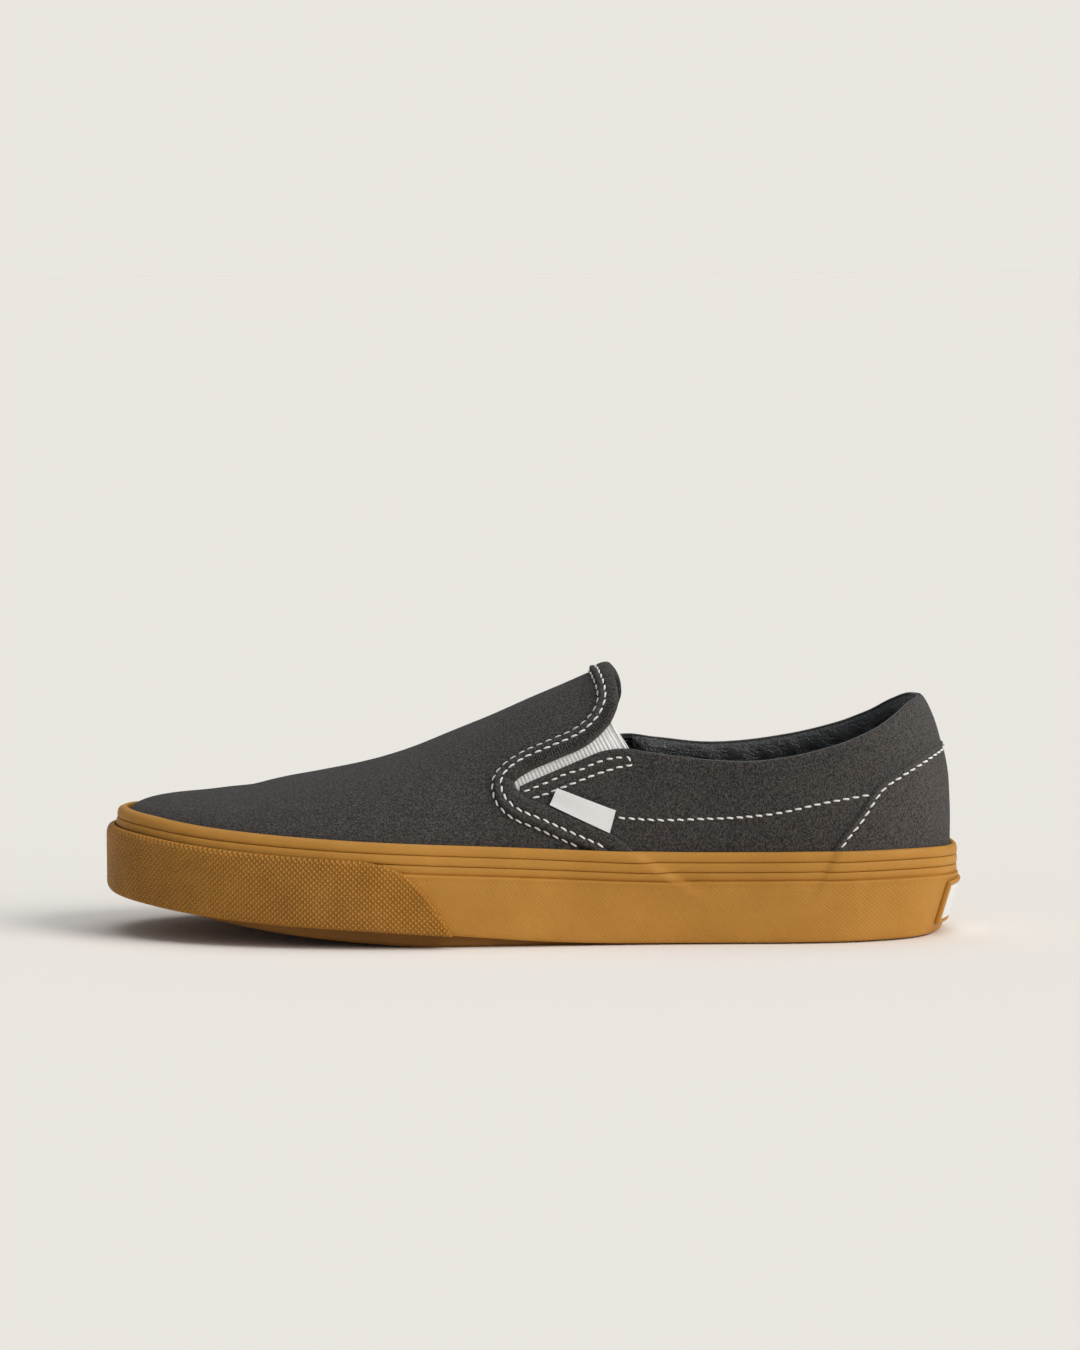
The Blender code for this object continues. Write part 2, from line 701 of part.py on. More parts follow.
def build_band(group, look):
    """Band over the edge of the flap and down both legs to the foxing."""
    halves = []
    count = 40
    for side in (-1, 1):
        a, v, fa, fv = band_half(side, count)
        t = np.linspace(0, 1, 4)[None, :]
        grid_a = a[:, None] * (1 - t) + fa[:, None] * t
        grid_v = v[:, None] * (1 - t) + fv[:, None] * t
        floor = foxing_top(grid_a) + GAP
        grid_v = np.maximum(grid_v, rise_of(grid_a, floor))
        halves.append((grid_a, grid_v))
    top_a = ridge_turn(TOE_X + LAST_LENGTH * 0.5900 - np.linspace(0, BAND_WIDTH, 4))
    near_a, near_v = halves[0][0][::-1], halves[0][1][::-1]
    far_a, far_v = halves[1]
    rows_a = [near_a]
    rows_v = [near_v]
    for t in (1 / 3, 2 / 3):
        rows_a.append((near_a[-1] * (1 - t) + top_a * t)[None])
        rows_v.append((near_v[-1] * (1 - t) + t)[None])
    rows_a.append(top_a[None])
    rows_v.append(np.ones((1, 4)))
    for t in (2 / 3, 1 / 3):
        rows_a.append((far_a[0] * (1 - t) + (2 - top_a) * t)[None])
        rows_v.append((far_v[0] * (1 - t) + t)[None])
    grid_a = np.vstack(rows_a + [far_a])
    grid_v = np.vstack(rows_v + [far_v])
    under = skin(grid_a, grid_v, GAP)
    over = skin(grid_a, grid_v, GAP + OVERLAY)
    return slab("vamp_edge_band", under, over, group, look)


def ridge_turn(x):
    """Turn at which the ridge passes x."""
    table = np.linspace(0, 1, 401)
    return np.interp(x, spline_at(RIDGE_X, table), table)


def build_gore(name, side, group, look):
    """Elastic panel behind the notch, reaching under the flap and under the quarter."""
    flap = flow(side_table(FLAP_EDGE[8:]), 9)[::-1]
    low = flow(side_table(COLLAR_EDGE[1:10]), 9)
    spread = np.array([0.004, 0.005, 0.006, 0.006, 0.006, 0.006, 0.006, 0.005, 0.004])
    over = flap + np.stack([-spread * 0.35, spread], -1)
    below = low + np.stack([spread * 0.35, -spread], -1)
    over[0, 0] -= 0.003
    below[0, 0] -= 0.003
    t = np.linspace(0, 1, 5)[None, :, None]
    grid = below[:, None] * (1 - t) + over[:, None] * t
    a, v = on_side(grid[..., 0], grid[..., 1], side)
    deep = -WALL - GAP
    return slab(name, skin(a, v, deep - GORE_THICKNESS), skin(a, v, deep), group, look)


def build_counter(group, look):
    """Panel over the heel, with its swept upper edge."""
    line = flow(side_table(COUNTER_EDGE), 120)
    front = float(line[0, 0])
    start, v = on_side(front, float(foxing_top(0.76)), -1)
    start = float(start)
    count = round((1 - start) * STATION_COUNT / 2)
    a = 1 + np.arange(-count, count + 1) * 2 / STATION_COUNT
    low = foxing_top(a) + GAP
    high = low + 0.02
    for _ in range(12):
        x = wrap(a, high, 0.0)[:, 0]
        high = np.maximum(np.interp(x, line[:, 0], line[:, 1]), low + 0.001)
    t = np.linspace(0, 1, 6)[None, :]
    z = low[:, None] * (1 - t) + high[:, None] * t
    grid_a = np.broadcast_to(a[:, None], z.shape)
    v = rise_of(grid_a, z)
    return slab("heel_counter", skin(grid_a, v, GAP), skin(grid_a, v, GAP + OVERLAY), group, look)


def build_lining(group, look):
    """Padded lining inside the collar, level with its edge."""
    front = TOE_X + LAST_LENGTH * 0.625
    start = float(on_side(front, INSTEP_HEIGHT * 0.79, -1)[0])
    count = int((1 - start) * STATION_COUNT / 2)
    a = 1 + np.arange(-count, count + 1) * 2 / STATION_COUNT
    top = np.full(a.shape, INSTEP_HEIGHT * 0.8)
    for _ in range(12):
        x = section(a, rise_of(a, top))[:, 0]
        top = collar_height(x)
    shares = np.array([0.0, 0.20, 0.50, 0.85, 1.0])
    z = top[:, None] - 0.0004 - LINING_DEPTH * (1 - shares[None, :])
    grid_a = np.broadcast_to(a[:, None], z.shape)
    v = rise_of(grid_a, z)
    outer = -WALL - 2 * GAP
    pad = LINING_THICKNESS * np.array([0.4, 0.9, 1.0, 0.9, 0.5])
    return slab("collar_lining", skin(grid_a, v, outer - pad[None, :]), skin(grid_a, v, outer), group, look)


def build_label(group, look):
    """Blank flag standing off the seam's edge."""
    corners = side_table(LABEL_CORNERS)
    u = np.linspace(0, 1, 4)[:, None, None]
    w = np.linspace(0, 1, 3)[None, :, None]
    top = corners[0] * (1 - u) + corners[1] * u
    low = corners[3] * (1 - u) + corners[2] * u
    grid = low * (1 - w) + top * w
    a, v = on_side(grid[..., 0], grid[..., 1], -1)
    return slab("side_label", skin(a, v, GAP), skin(a, v, GAP + LABEL_THICKNESS), group, look)


def build_insole(group, look):
    """Sheet under the foot, over the turned-in margin."""
    inset = -WALL - 3 * GAP
    levels = (
        (inset, lambda x: feather(x) + WALL + GAP),
        (inset, lambda x: feather(x) + WALL + GAP + INSOLE_THICKNESS),
    )
    return plate("insole", levels, group, look)


def centre(group, cutters):
    """Move every mesh so that the shoe's box is centred over the origin."""
    bpy.context.view_layer.update()
    points = np.vstack([[v.co[:] for v in made.data.vertices] for made in group.objects])
    middle = (points.min(0) + points.max(0)) / 2
    for made in list(group.objects) + list(cutters.objects):
        for v in made.data.vertices:
            v.co.x -= middle[0]
            v.co.y -= middle[1]


def build():
    """The whole shoe."""
    for old in list(bpy.data.objects):
        bpy.data.objects.remove(old, do_unlink=True)
    group = bpy.data.collections.new("slip_on_sneaker")
    cutters = bpy.data.collections.new("cutters")
    cutters.hide_render = True
    bpy.context.scene.collection.children.link(group)
    bpy.context.scene.collection.children.link(cutters)
    canvas = material("canvas", (0.055, 0.048, 0.045), 0.9)
    gum = material("gum_rubber", (0.41, 0.20, 0.045), 0.55)
    elastic = material("elastic", (0.65, 0.62, 0.58), 0.8)
    leather = material("lining_leather", (0.03, 0.028, 0.027), 0.5)
    cloth = material("insole_cloth", (0.12, 0.11, 0.10), 0.9)
    pale = material("label_cloth", (0.75, 0.74, 0.72), 0.7)
    build_outsole(group, gum, cutters)
    build_foxing(group, gum)
    build_bumper(group, gum)
    build_tab(group, gum, pale)
    build_upper(group, canvas, cutters)
    build_band(group, canvas)
    build_gore("gore_lateral", -1, group, elastic)
    build_gore("gore_medial", 1, group, elastic)
    build_counter(group, canvas)
    build_lining(group, leather)
    build_label(group, pale)
    build_insole(group, cloth)
    centre(group, cutters)


build()
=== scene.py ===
"""Looks of the slip-on sneaker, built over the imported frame.

Every soft piece is drawn again on the same last as the solids, finer and with its creases, rolled
edges, stitches and grain. The toe is at -X, the outer side faces -Y and the sole stands on z = 0.
"""
import math

import bpy
import numpy as np
from mathutils import Matrix, Vector

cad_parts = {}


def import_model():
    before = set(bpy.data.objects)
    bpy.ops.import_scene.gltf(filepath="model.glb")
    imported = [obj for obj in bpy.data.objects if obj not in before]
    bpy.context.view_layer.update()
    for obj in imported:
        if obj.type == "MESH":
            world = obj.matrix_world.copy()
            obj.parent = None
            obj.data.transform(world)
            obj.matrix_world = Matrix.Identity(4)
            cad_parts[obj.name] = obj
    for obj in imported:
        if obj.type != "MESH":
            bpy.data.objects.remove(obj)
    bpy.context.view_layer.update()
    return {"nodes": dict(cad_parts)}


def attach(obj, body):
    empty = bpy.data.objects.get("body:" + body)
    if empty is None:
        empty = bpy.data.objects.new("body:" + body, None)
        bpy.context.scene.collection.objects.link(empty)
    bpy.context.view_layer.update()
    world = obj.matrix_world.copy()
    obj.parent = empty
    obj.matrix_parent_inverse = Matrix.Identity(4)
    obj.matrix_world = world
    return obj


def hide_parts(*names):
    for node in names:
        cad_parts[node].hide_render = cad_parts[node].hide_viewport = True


# Driving sizes, the same as in the construction
LAST_LENGTH = 0.2815
BALL_WIDTH = 0.100
INSTEP_HEIGHT = 0.081
FOXING_HEIGHT = 0.0315
FOXING_THICKNESS = 0.0029
SOLE_THICKNESS = 0.010
SOLE_REACH = 0.0026
HEEL_LIFT = 0.005
TOE_SPRING = 0.0135
HEEL_TUCK = 0.0064
WALL = 0.0018
GAP = 0.0003
BAND_WIDTH = 0.0063
LEG_WIDTH = 0.0080
LAST_CENTRE_X = -0.0006

# How far the construction moves the last to centre the whole shoe
CENTRE_SHIFT = np.array([0.0013551, 0.0005608, 0.0])

# Shape of the last at eleven stations from toe to heel, evenly spaced in the half turn that
# walks along each side. The widths are shares of BALL_WIDTH, ridge_x of LAST_LENGTH from the toe,
# ridge_y of BALL_WIDTH and ridge_z of the way from the rubber's top at the toe to INSTEP_HEIGHT.
# crown and wall round each section.
#    lateral medial ridge_x ridge_y ridge_z crown wall
STATIONS = (
    (-0.040, 0.040, 0.092, 0.045, 0.0618, 1.70, 8.0),
    (0.170, 0.250, 0.102, 0.045, 0.0662, 1.80, 6.5),
    (0.350, 0.410, 0.144, 0.040, 0.1000, 1.95, 4.2),
    (0.470, 0.495, 0.228, 0.030, 0.2418, 2.00, 2.7),
    (0.510, 0.470, 0.350, 0.020, 0.4825, 2.00, 2.0),
    (0.455, 0.375, 0.498, 0.010, 0.9708, 2.00, 1.65),
    (0.400, 0.335, 0.630, 0.000, 1.3950, 2.00, 1.85),
    (0.380, 0.350, 0.730, 0.000, 1.6075, 2.00, 2.2),
    (0.340, 0.330, 0.805, 0.000, 1.5400, 2.00, 3.2),
    (0.215, 0.215, 0.862, 0.000, 1.3713, 2.00, 4.4),
    (0.000, 0.000, 0.880, 0.000, 1.2925, 2.00, 5.2),
)

# Edge of the flap seen from the side, from the ridge down to the notch.
#    x share of LAST_LENGTH from the toe, z share of INSTEP_HEIGHT
FLAP_EDGE = (
    (0.5895, 1.200),
    (0.5900, 1.142),
    (0.5945, 1.116),
    (0.6001, 1.083),
    (0.6036, 1.046),
    (0.6047, 1.008),
    (0.6027, 0.970),
    (0.5975, 0.927),
    (0.5930, 0.903),
    (0.5834, 0.867),
    (0.5730, 0.836),
    (0.5574, 0.804),
    (0.5394, 0.778),
    (0.5186, 0.748),
    (0.5030, 0.726),
    (0.4882, 0.696),
    (0.4818, 0.673),
)

# Edge of the quarter and the collar, from the notch to the back of the heel, in the same shares.
COLLAR_EDGE = (
    (0.4825, 0.660),
    (0.4865, 0.652),
    (0.5033, 0.677),
    (0.5214, 0.703),
    (0.5420, 0.733),
    (0.5628, 0.763),
    (0.5810, 0.789),
    (0.5940, 0.800),
    (0.6069, 0.805),
    (0.6200, 0.804),
    (0.6450, 0.790),
    (0.6776, 0.773),
    (0.7254, 0.759),
    (0.7731, 0.761),
    (0.8208, 0.785),
    (0.8686, 0.828),
    (0.8925, 0.858),
    (0.9165, 0.896),
    (0.9408, 0.950),
    (0.9556, 0.984),
    (0.9700, 0.998),
)

# Rear edge of the leg of the vamp's band, from the notch down to the foxing, in the same shares.
LEG_EDGE = (
    (0.4818, 0.673),
    (0.4832, 0.650),
    (0.4895, 0.625),
    (0.4991, 0.602),
    (0.5229, 0.572),
    (0.5500, 0.532),
    (0.5940, 0.466),
    (0.6170, 0.412),
    (0.6290, 0.370),
)

# Upper edge of the heel counter, from its front corner to the back, in the same shares.
COUNTER_EDGE = (
    (0.8600, 0.372),
    (0.8737, 0.443),
    (0.8918, 0.525),
    (0.9159, 0.645),
    (0.9400, 0.703),
    (0.9643, 0.749),
    (0.9829, 0.783),
    (0.9960, 0.800),
)

# Corners of the side label in the same shares, walking round from its upper front corner.
LABEL_CORNERS = ((0.5335, 0.6360), (0.6035, 0.5520), (0.5970, 0.4700), (0.5255, 0.5800))

# Height of the foxing along a side, as shares of FOXING_HEIGHT at places evenly spaced from
# toe to heel.
FOXING_RISE = (0.915, 0.922, 0.930, 0.962, 1.002, 1.014, 0.978, 0.970, 0.972, 0.967, 0.935)

# Rear edge of the toe bumper: x share of LAST_LENGTH from the toe against height, as shares of
# the bumper's own height.
BUMPER_EDGE = (
    (0.4095, 0.00),
    (0.4040, 0.11),
    (0.3980, 0.22),
    (0.3800, 0.53),
    (0.3645, 0.73),
    (0.3470, 0.87),
    (0.3270, 0.955),
    (0.3000, 1.00),
)

TOE_X = LAST_CENTRE_X - LAST_LENGTH / 2
TOE_TOP = TOE_SPRING + FOXING_HEIGHT


def closed_spline(values):
    """Values and second derivatives of the smooth closed curve through evenly spaced values."""
    values = np.asarray(values, float)
    count = len(values)
    matrix = np.zeros((count, count))
    rows = np.arange(count)
    matrix[rows, rows] = 4
    matrix[rows, (rows + 1) % count] = 1
    matrix[rows, (rows - 1) % count] = 1
    right = 6 * (np.roll(values, -1, 0) - 2 * values + np.roll(values, 1, 0))
    return values, np.linalg.solve(matrix, right)


def spline_at(spline, a):
    """The closed curve at turn a, where a = 0 is the toe, 1 the heel and 2 the toe again."""
    values, bends = spline
    count = len(values)
    place = (np.asarray(a, float) / 2 % 1) * count
    low = np.floor(place).astype(int) % count
    high = (low + 1) % count
    f = place - np.floor(place)
    g = 1 - f
    curve = (g**3 - g) * bends[low] + (f**3 - f) * bends[high]
    return g * values[low] + f * values[high] + curve / 6


def ring_of(lateral, medial):
    """Closed curve from the values along the lateral side and along the medial side."""
    return closed_spline(list(lateral) + list(medial[-2:0:-1]))


COLUMNS = list(zip(*STATIONS))
EDGE_Y = ring_of([-BALL_WIDTH * v for v in COLUMNS[0]], [BALL_WIDTH * v for v in COLUMNS[1]])
RIDGE_X = ring_of(*[[TOE_X + LAST_LENGTH * v for v in COLUMNS[2]]] * 2)
RIDGE_Y = ring_of(*[[BALL_WIDTH * v for v in COLUMNS[3]]] * 2)
RIDGE_Z = ring_of(*[[TOE_TOP + (INSTEP_HEIGHT - TOE_TOP) * v for v in COLUMNS[4]]] * 2)
CROWN = ring_of(COLUMNS[5], COLUMNS[5])
WALL_SHAPE = ring_of(COLUMNS[6], COLUMNS[6])
RISE = ring_of(FOXING_RISE, FOXING_RISE)


def smooth(x):
    """Smooth step from 0 to 1."""
    x = np.clip(x, 0, 1)
    return x * x * (3 - 2 * x)


def share_x(x):
    """Share of the last's length from the toe."""
    return (np.asarray(x, float) - TOE_X) / LAST_LENGTH


def ground(x):
    """Height of the foxing's lower edge: level from the waist back, sprung to the toe."""
    return TOE_SPRING * np.clip((0.623 - share_x(x)) / 0.623, 0, None) ** 1.9 + 0.0004


def lower_edge(x):
    """Height of the rubber's lower edge in the picture, which lifts a little at the ball."""
    return ground(x) + 0.0023 * np.exp(-(((x + 0.044) / 0.048) ** 2))


def underside(x):
    """Height of the tread: on the floor from the ball back, sprung to the toe."""
    return np.maximum(ground(x) - SOLE_REACH * smooth(share_x(x) / 0.25), 0)


def feather(x):
    """Height of the edge where the upper turns in."""
    return ground(x) + SOLE_THICKNESS + HEEL_LIFT * smooth((share_x(x) - 0.39) / 0.36)


def tuck(x, height):
    """How far the heel's back leans in at a height over the foxing's lower edge."""
    lean = np.clip(1 - height / (0.667 * FOXING_HEIGHT), 0, 1)
    return HEEL_TUCK * smooth((share_x(x) - 0.80) / 0.18) * lean


def edge(a):
    """Plan outline of the last at turn a."""
    a = np.asarray(a, float)
    return LAST_CENTRE_X - np.cos(np.pi * a) * LAST_LENGTH / 2, spline_at(EDGE_Y, a)


def section(a, v):
    """Point of the last: v runs from the feather edge (0) to the ridge (1)."""
    a, v = np.broadcast_arrays(np.asarray(a, float), np.asarray(v, float))
    ex, ey = edge(a)
    rx, ry, rz = spline_at(RIDGE_X, a), spline_at(RIDGE_Y, a), spline_at(RIDGE_Z, a)
    p, q = spline_at(CROWN, a), spline_at(WALL_SHAPE, a)
    foot = feather(ex)
    angle = np.clip(v, 0, 1) * np.pi / 2
    out, up = np.cos(angle), np.sin(angle)
    low, high = np.full(a.shape, 0.5), np.full(a.shape, 1.5)
    for _ in range(34):
        mid = (low + high) / 2
        over = (mid * out) ** p + (mid * up) ** q > 1
        high = np.where(over, mid, high)
        low = np.where(over, low, mid)
    r = (low + high) / 2
    z = foot + (rz - foot) * r * up
    x = rx + (ex - rx) * r * out
    y = ry + (ey - ry) * r * out
    return np.stack([x - tuck(ex, z - ground(ex)), y, z], -1)


def rise_of(a, z):
    """The v at which the section at turn a reaches height z."""
    ex, ey = edge(a)
    rz = spline_at(RIDGE_Z, a)
    p, q = spline_at(CROWN, a), spline_at(WALL_SHAPE, a)
    foot = feather(ex)
    up = np.clip((z - foot) / (rz - foot), 0, 1)
    out = (1 - up**q) ** (1 / p)
    return np.arctan2(up, out) / (np.pi / 2)


def facing(a, v):
    """Outward unit normal of the last."""
    step = 1e-3
    along = section(a + step, v) - section(a - step, v)
    low = np.clip(v - step, 0, 1)
    high = np.clip(v + step, 0, 1)
    over = (v + step > 1)[..., None]
    upper = np.where(over, section(2 - a, np.clip(2 - v - step, 0, 1)), section(a, high))
    normal = np.cross(along, upper - section(a, low))
    size = np.linalg.norm(normal, axis=-1, keepdims=True)
    level = np.zeros(normal.shape)
    level[..., 2] = 1
    return np.where(size > 1e-12, normal / np.maximum(size, 1e-12), level)


def skin(a, v, offset=0.0):
    """Point of the last moved out along its normal."""
    a, v = np.broadcast_arrays(np.asarray(a, float), np.asarray(v, float))
    offset = np.broadcast_to(np.asarray(offset, float), a.shape)
    return section(a, v) + facing(a, v) * offset[..., None]


def wrap(a, z, offset):
    """Point beside the last at height z, moved out level so that its wall is offset away."""
    a, z = np.broadcast_arrays(np.asarray(a, float), np.asarray(z, float))
    offset = np.broadcast_to(np.asarray(offset, float), a.shape)
    v = rise_of(a, z)
    point = section(a, v)
    normal = facing(a, np.clip(v, 0.002, 1))[..., :2]
    size = np.linalg.norm(normal, axis=-1, keepdims=True)
    level = normal / size / np.clip(size, 0.5, 1)
    ex, ey = edge(a)
    sunk = tuck(ex, z - ground(ex)) - tuck(ex, point[..., 2] - ground(ex))
    x = point[..., 0] + level[..., 0] * offset - sunk
    y = point[..., 1] + level[..., 1] * offset
    return np.stack([x, y, z], -1)


def on_side(x, z, side=-1):
    """Turn and v of the point of one side seen at x, z from that side."""
    x, z = np.broadcast_arrays(np.asarray(x, float), np.asarray(z, float))
    low, high = np.zeros(x.shape), np.ones(x.shape)
    for _ in range(36):
        middle = (low + high) / 2
        a = middle if side < 0 else 2 - middle
        behind = section(a, rise_of(a, z))[..., 0] < x
        low = np.where(behind, middle, low)
        high = np.where(behind, high, middle)
    middle = (low + high) / 2
    a = middle if side < 0 else 2 - middle
    return a, rise_of(a, z)


def flow(points, count):
    """Smooth open curve through the points, with count points evenly spaced along it."""
    points = np.asarray(points, float)
    padded = np.vstack([2 * points[0] - points[1], points, 2 * points[-1] - points[-2]])
    t = np.linspace(0, 1, 12, endpoint=False)[:, None]
    runs = []
    for i in range(len(points) - 1):
        a, b, c, d = padded[i : i + 4]
        bend = (2 * a - 5 * b + 4 * c - d) * t**2 + (3 * b - a - 3 * c + d) * t**3
        runs.append(0.5 * (2 * b + (c - a) * t + bend))
    runs.append(points[-1:])
    dense = np.vstack(runs)
    length = np.concatenate([[0], np.cumsum(np.linalg.norm(np.diff(dense, axis=0), axis=1))])
    places = np.linspace(0, length[-1], count)
    return np.stack([np.interp(places, length, dense[:, i]) for i in range(points.shape[1])], -1)


def side_table(table):
    """Points in metres from a table of shares."""
    table = np.asarray(table, float)
    return np.stack([TOE_X + LAST_LENGTH * table[:, 0], INSTEP_HEIGHT * table[:, 1]], -1)


def foxing_top(a):
    """Height of the foxing's upper edge."""
    return ground(edge(a)[0]) + FOXING_HEIGHT * spline_at(RISE, a)


def collar_height(x):
    """Height of the collar's edge at x, behind the notch."""
    line = flow(side_table(COLLAR_EDGE), 200)
    start = np.argmax(line[:, 0] > TOE_X + LAST_LENGTH * 0.60)
    return np.interp(x, line[start:, 0], line[start:, 1])

# Soft dents and swellings of the worn canvas: x and z of the middle, reach along and across,
# lean of the long axis in degrees, depth. Metres, on the named side (-1 outer, 1 inner, 0 both).
CREASES = (
    (-0.098, 0.052, 0.0045, 0.030, 78, -0.0004, 0),
    (-0.086, 0.050, 0.0060, 0.030, 78, 0.0002, 0),
    (-0.062, 0.052, 0.0100, 0.024, 70, -0.0001, 0),
    (-0.030, 0.060, 0.0080, 0.022, 62, 0.0003, 0),
    (0.034, 0.056, 0.0050, 0.016, 60, -0.0007, 0),
    (0.044, 0.053, 0.0060, 0.018, 80, 0.0004, 0),
    (0.062, 0.048, 0.0120, 0.012, 90, -0.0004, 0),
    (0.088, 0.052, 0.0090, 0.016, 85, 0.0004, 0),
    (-0.018, 0.050, 0.0050, 0.014, 60, -0.0005, 0),
)


def relief(a, v):
    """Height of the canvas's soft creases over the plain last."""
    point = section(a, v)
    x, z = point[..., 0], point[..., 2]
    total = np.zeros(x.shape)
    for cx, cz, wide, long, lean, depth, side in CREASES:
        c, s = math.cos(math.radians(lean)), math.sin(math.radians(lean))
        along = ((x - cx) * c + (z - cz) * s) / long
        over = (-(x - cx) * s + (z - cz) * c) / wide
        total += depth * np.exp(-(along**2) - over**2)
    total += 0.00012 * np.sin(x * 170 + 3 * np.sin(z * 60)) * np.sin(z * 150 + 1)
    return total


def cloth(a, v, offset=0.0):
    """Point of the canvas surface, creases included."""
    a, v = np.broadcast_arrays(np.asarray(a, float), np.asarray(v, float))
    return skin(a, v, np.asarray(offset) + relief(a, v))


def edge_height(a, lift=0.0):
    """Height of the collar's edge at turn a, behind the notch."""
    line = flow(side_table(COLLAR_EDGE), 400)
    top = np.full(np.shape(a), INSTEP_HEIGHT * 0.78)
    for _ in range(30):
        x = section(a, rise_of(a, top))[..., 0]
        top = 0.5 * top + 0.5 * np.interp(x, line[:, 0], line[:, 1])
    share = share_x(x)
    rear = smooth((share - 0.68) / 0.12) * smooth((0.975 - share) / 0.05)
    return top + lift + np.where(np.asarray(a) > 1, 0.0014, -0.0006) * rear


def in_throat(x, z, margin):
    """True where a side view point is inside the open throat, less a margin."""
    flap = flow(side_table(FLAP_EDGE), 80)
    collar = flow(side_table(COLLAR_EDGE), 200)
    above = z > np.interp(x, collar[:, 0], collar[:, 1], left=9, right=collar[-1, 1]) - margin
    low = flap[::-1]
    start = np.argmax(low[:, 0])
    under = low[: start + 1]
    over = low[start:]
    lower_edge = np.interp(x, under[:, 0], under[:, 1], left=9, right=9)
    upper_edge = np.interp(x, over[::-1, 0], over[::-1, 1], left=9, right=-9)
    inside_flap = (x < low[start, 0] - margin) & (z > lower_edge + margin)
    behind = (x > over[-1, 0] - margin) & (z > upper_edge - margin) & (x > np.interp(z, over[:, 1], over[:, 0]))
    return above & ~(inside_flap & ~behind)


# Mesh helpers

def add_mesh(name, verts, faces, look, uv=None, sharp=50):
    """Smooth shaded mesh object that belongs to the shoe."""
    mesh = bpy.data.meshes.new(name)
    verts = np.asarray(verts, float).reshape(-1, 3) + CENTRE_SHIFT
    used, faces = np.unique(np.asarray(faces), return_inverse=True)
    faces = faces.reshape(-1, 4).astype(np.int32)
    verts = verts[used]
    mesh.vertices.add(len(verts))
    mesh.vertices.foreach_set("co", verts.ravel())
    sides = faces.shape[1]
    mesh.loops.add(faces.size)
    mesh.loops.foreach_set("vertex_index", faces.ravel())
    mesh.polygons.add(len(faces))
    mesh.polygons.foreach_set("loop_start", np.arange(len(faces), dtype=np.int32) * sides)
    mesh.update(calc_edges=True)
    mesh.validate()
    if uv is not None:
        layer = mesh.uv_layers.new(name="cloth")
        index = np.empty(len(mesh.loops), np.int32)
        mesh.loops.foreach_get("vertex_index", index)
        layer.data.foreach_set("uv", np.asarray(uv, float).reshape(-1, 2)[used][index].ravel())
    mesh.polygons.foreach_set("use_smooth", np.ones(len(mesh.polygons), bool))
    if sharp < 180:
        mesh.set_sharp_from_angle(angle=math.radians(sharp))
    mesh.materials.append(look)
    made = bpy.data.objects.new(name, mesh)
    bpy.context.scene.collection.objects.link(made)
    return made


def grid_faces(rows, columns, closed=False, around=False, keep=None):
    """Quads of a grid of points. closed joins the first axis, around the second."""
    i = np.arange(rows if closed else rows - 1)
    j = np.arange(columns if around else columns - 1)
    i, j = np.meshgrid(i, j, indexing="ij")
    k, m = (i + 1) % rows, (j + 1) % columns
    quads = np.stack([i * columns + j, k * columns + j, k * columns + m, i * columns + m], -1)
    if keep is not None:
        quads = quads[keep[: quads.shape[0], : quads.shape[1]]]
    return quads.reshape(-1, 4)


def lengths(points):
    """Distance run along both axes of a grid, as its flat cloth coordinates."""
    first = np.linalg.norm(np.diff(points, axis=0), axis=-1)
    first = np.vstack([np.zeros((1, points.shape[1])), np.cumsum(first, axis=0)])
    second = np.linalg.norm(np.diff(points, axis=1), axis=-1)
    second = np.hstack([np.zeros((points.shape[0], 1)), np.cumsum(second, axis=1)])
    u = np.broadcast_to(first[:, points.shape[1] // 2][:, None], first.shape)
    w = np.broadcast_to(second[points.shape[0] // 2][None], second.shape)
    return np.stack([u, w], -1)


def grid_object(name, points, look, flip=False, closed=False, around=False, keep=None, sharp=50, uv=None):
    """Object from a grid of points."""
    faces = grid_faces(points.shape[0], points.shape[1], closed, around, keep)
    if flip:
        faces = faces[:, ::-1]
    return add_mesh(name, points, faces, look, lengths(points) if uv is None else uv, sharp)


def belongs(made, slot, *nodes):
    """The piece moves with the shoe and may stand for solids. Its slot is not used."""
    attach(made, "root")
    if nodes:
        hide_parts(*nodes)
    return made


# Materials

def shader_of(name, roughness, sheen=0.0, specular=0.5, coat=0.0):
    """New material with its node tree and Principled shader."""
    made = bpy.data.materials.new(name)
    made.use_nodes = True
    tree = made.node_tree
    shader = tree.nodes["Principled BSDF"]
    shader.inputs["Roughness"].default_value = roughness
    shader.inputs["Sheen Weight"].default_value = sheen
    shader.inputs["Sheen Roughness"].default_value = 0.5
    shader.inputs["Specular IOR Level"].default_value = specular
    shader.inputs["Coat Weight"].default_value = coat
    return made, tree, shader


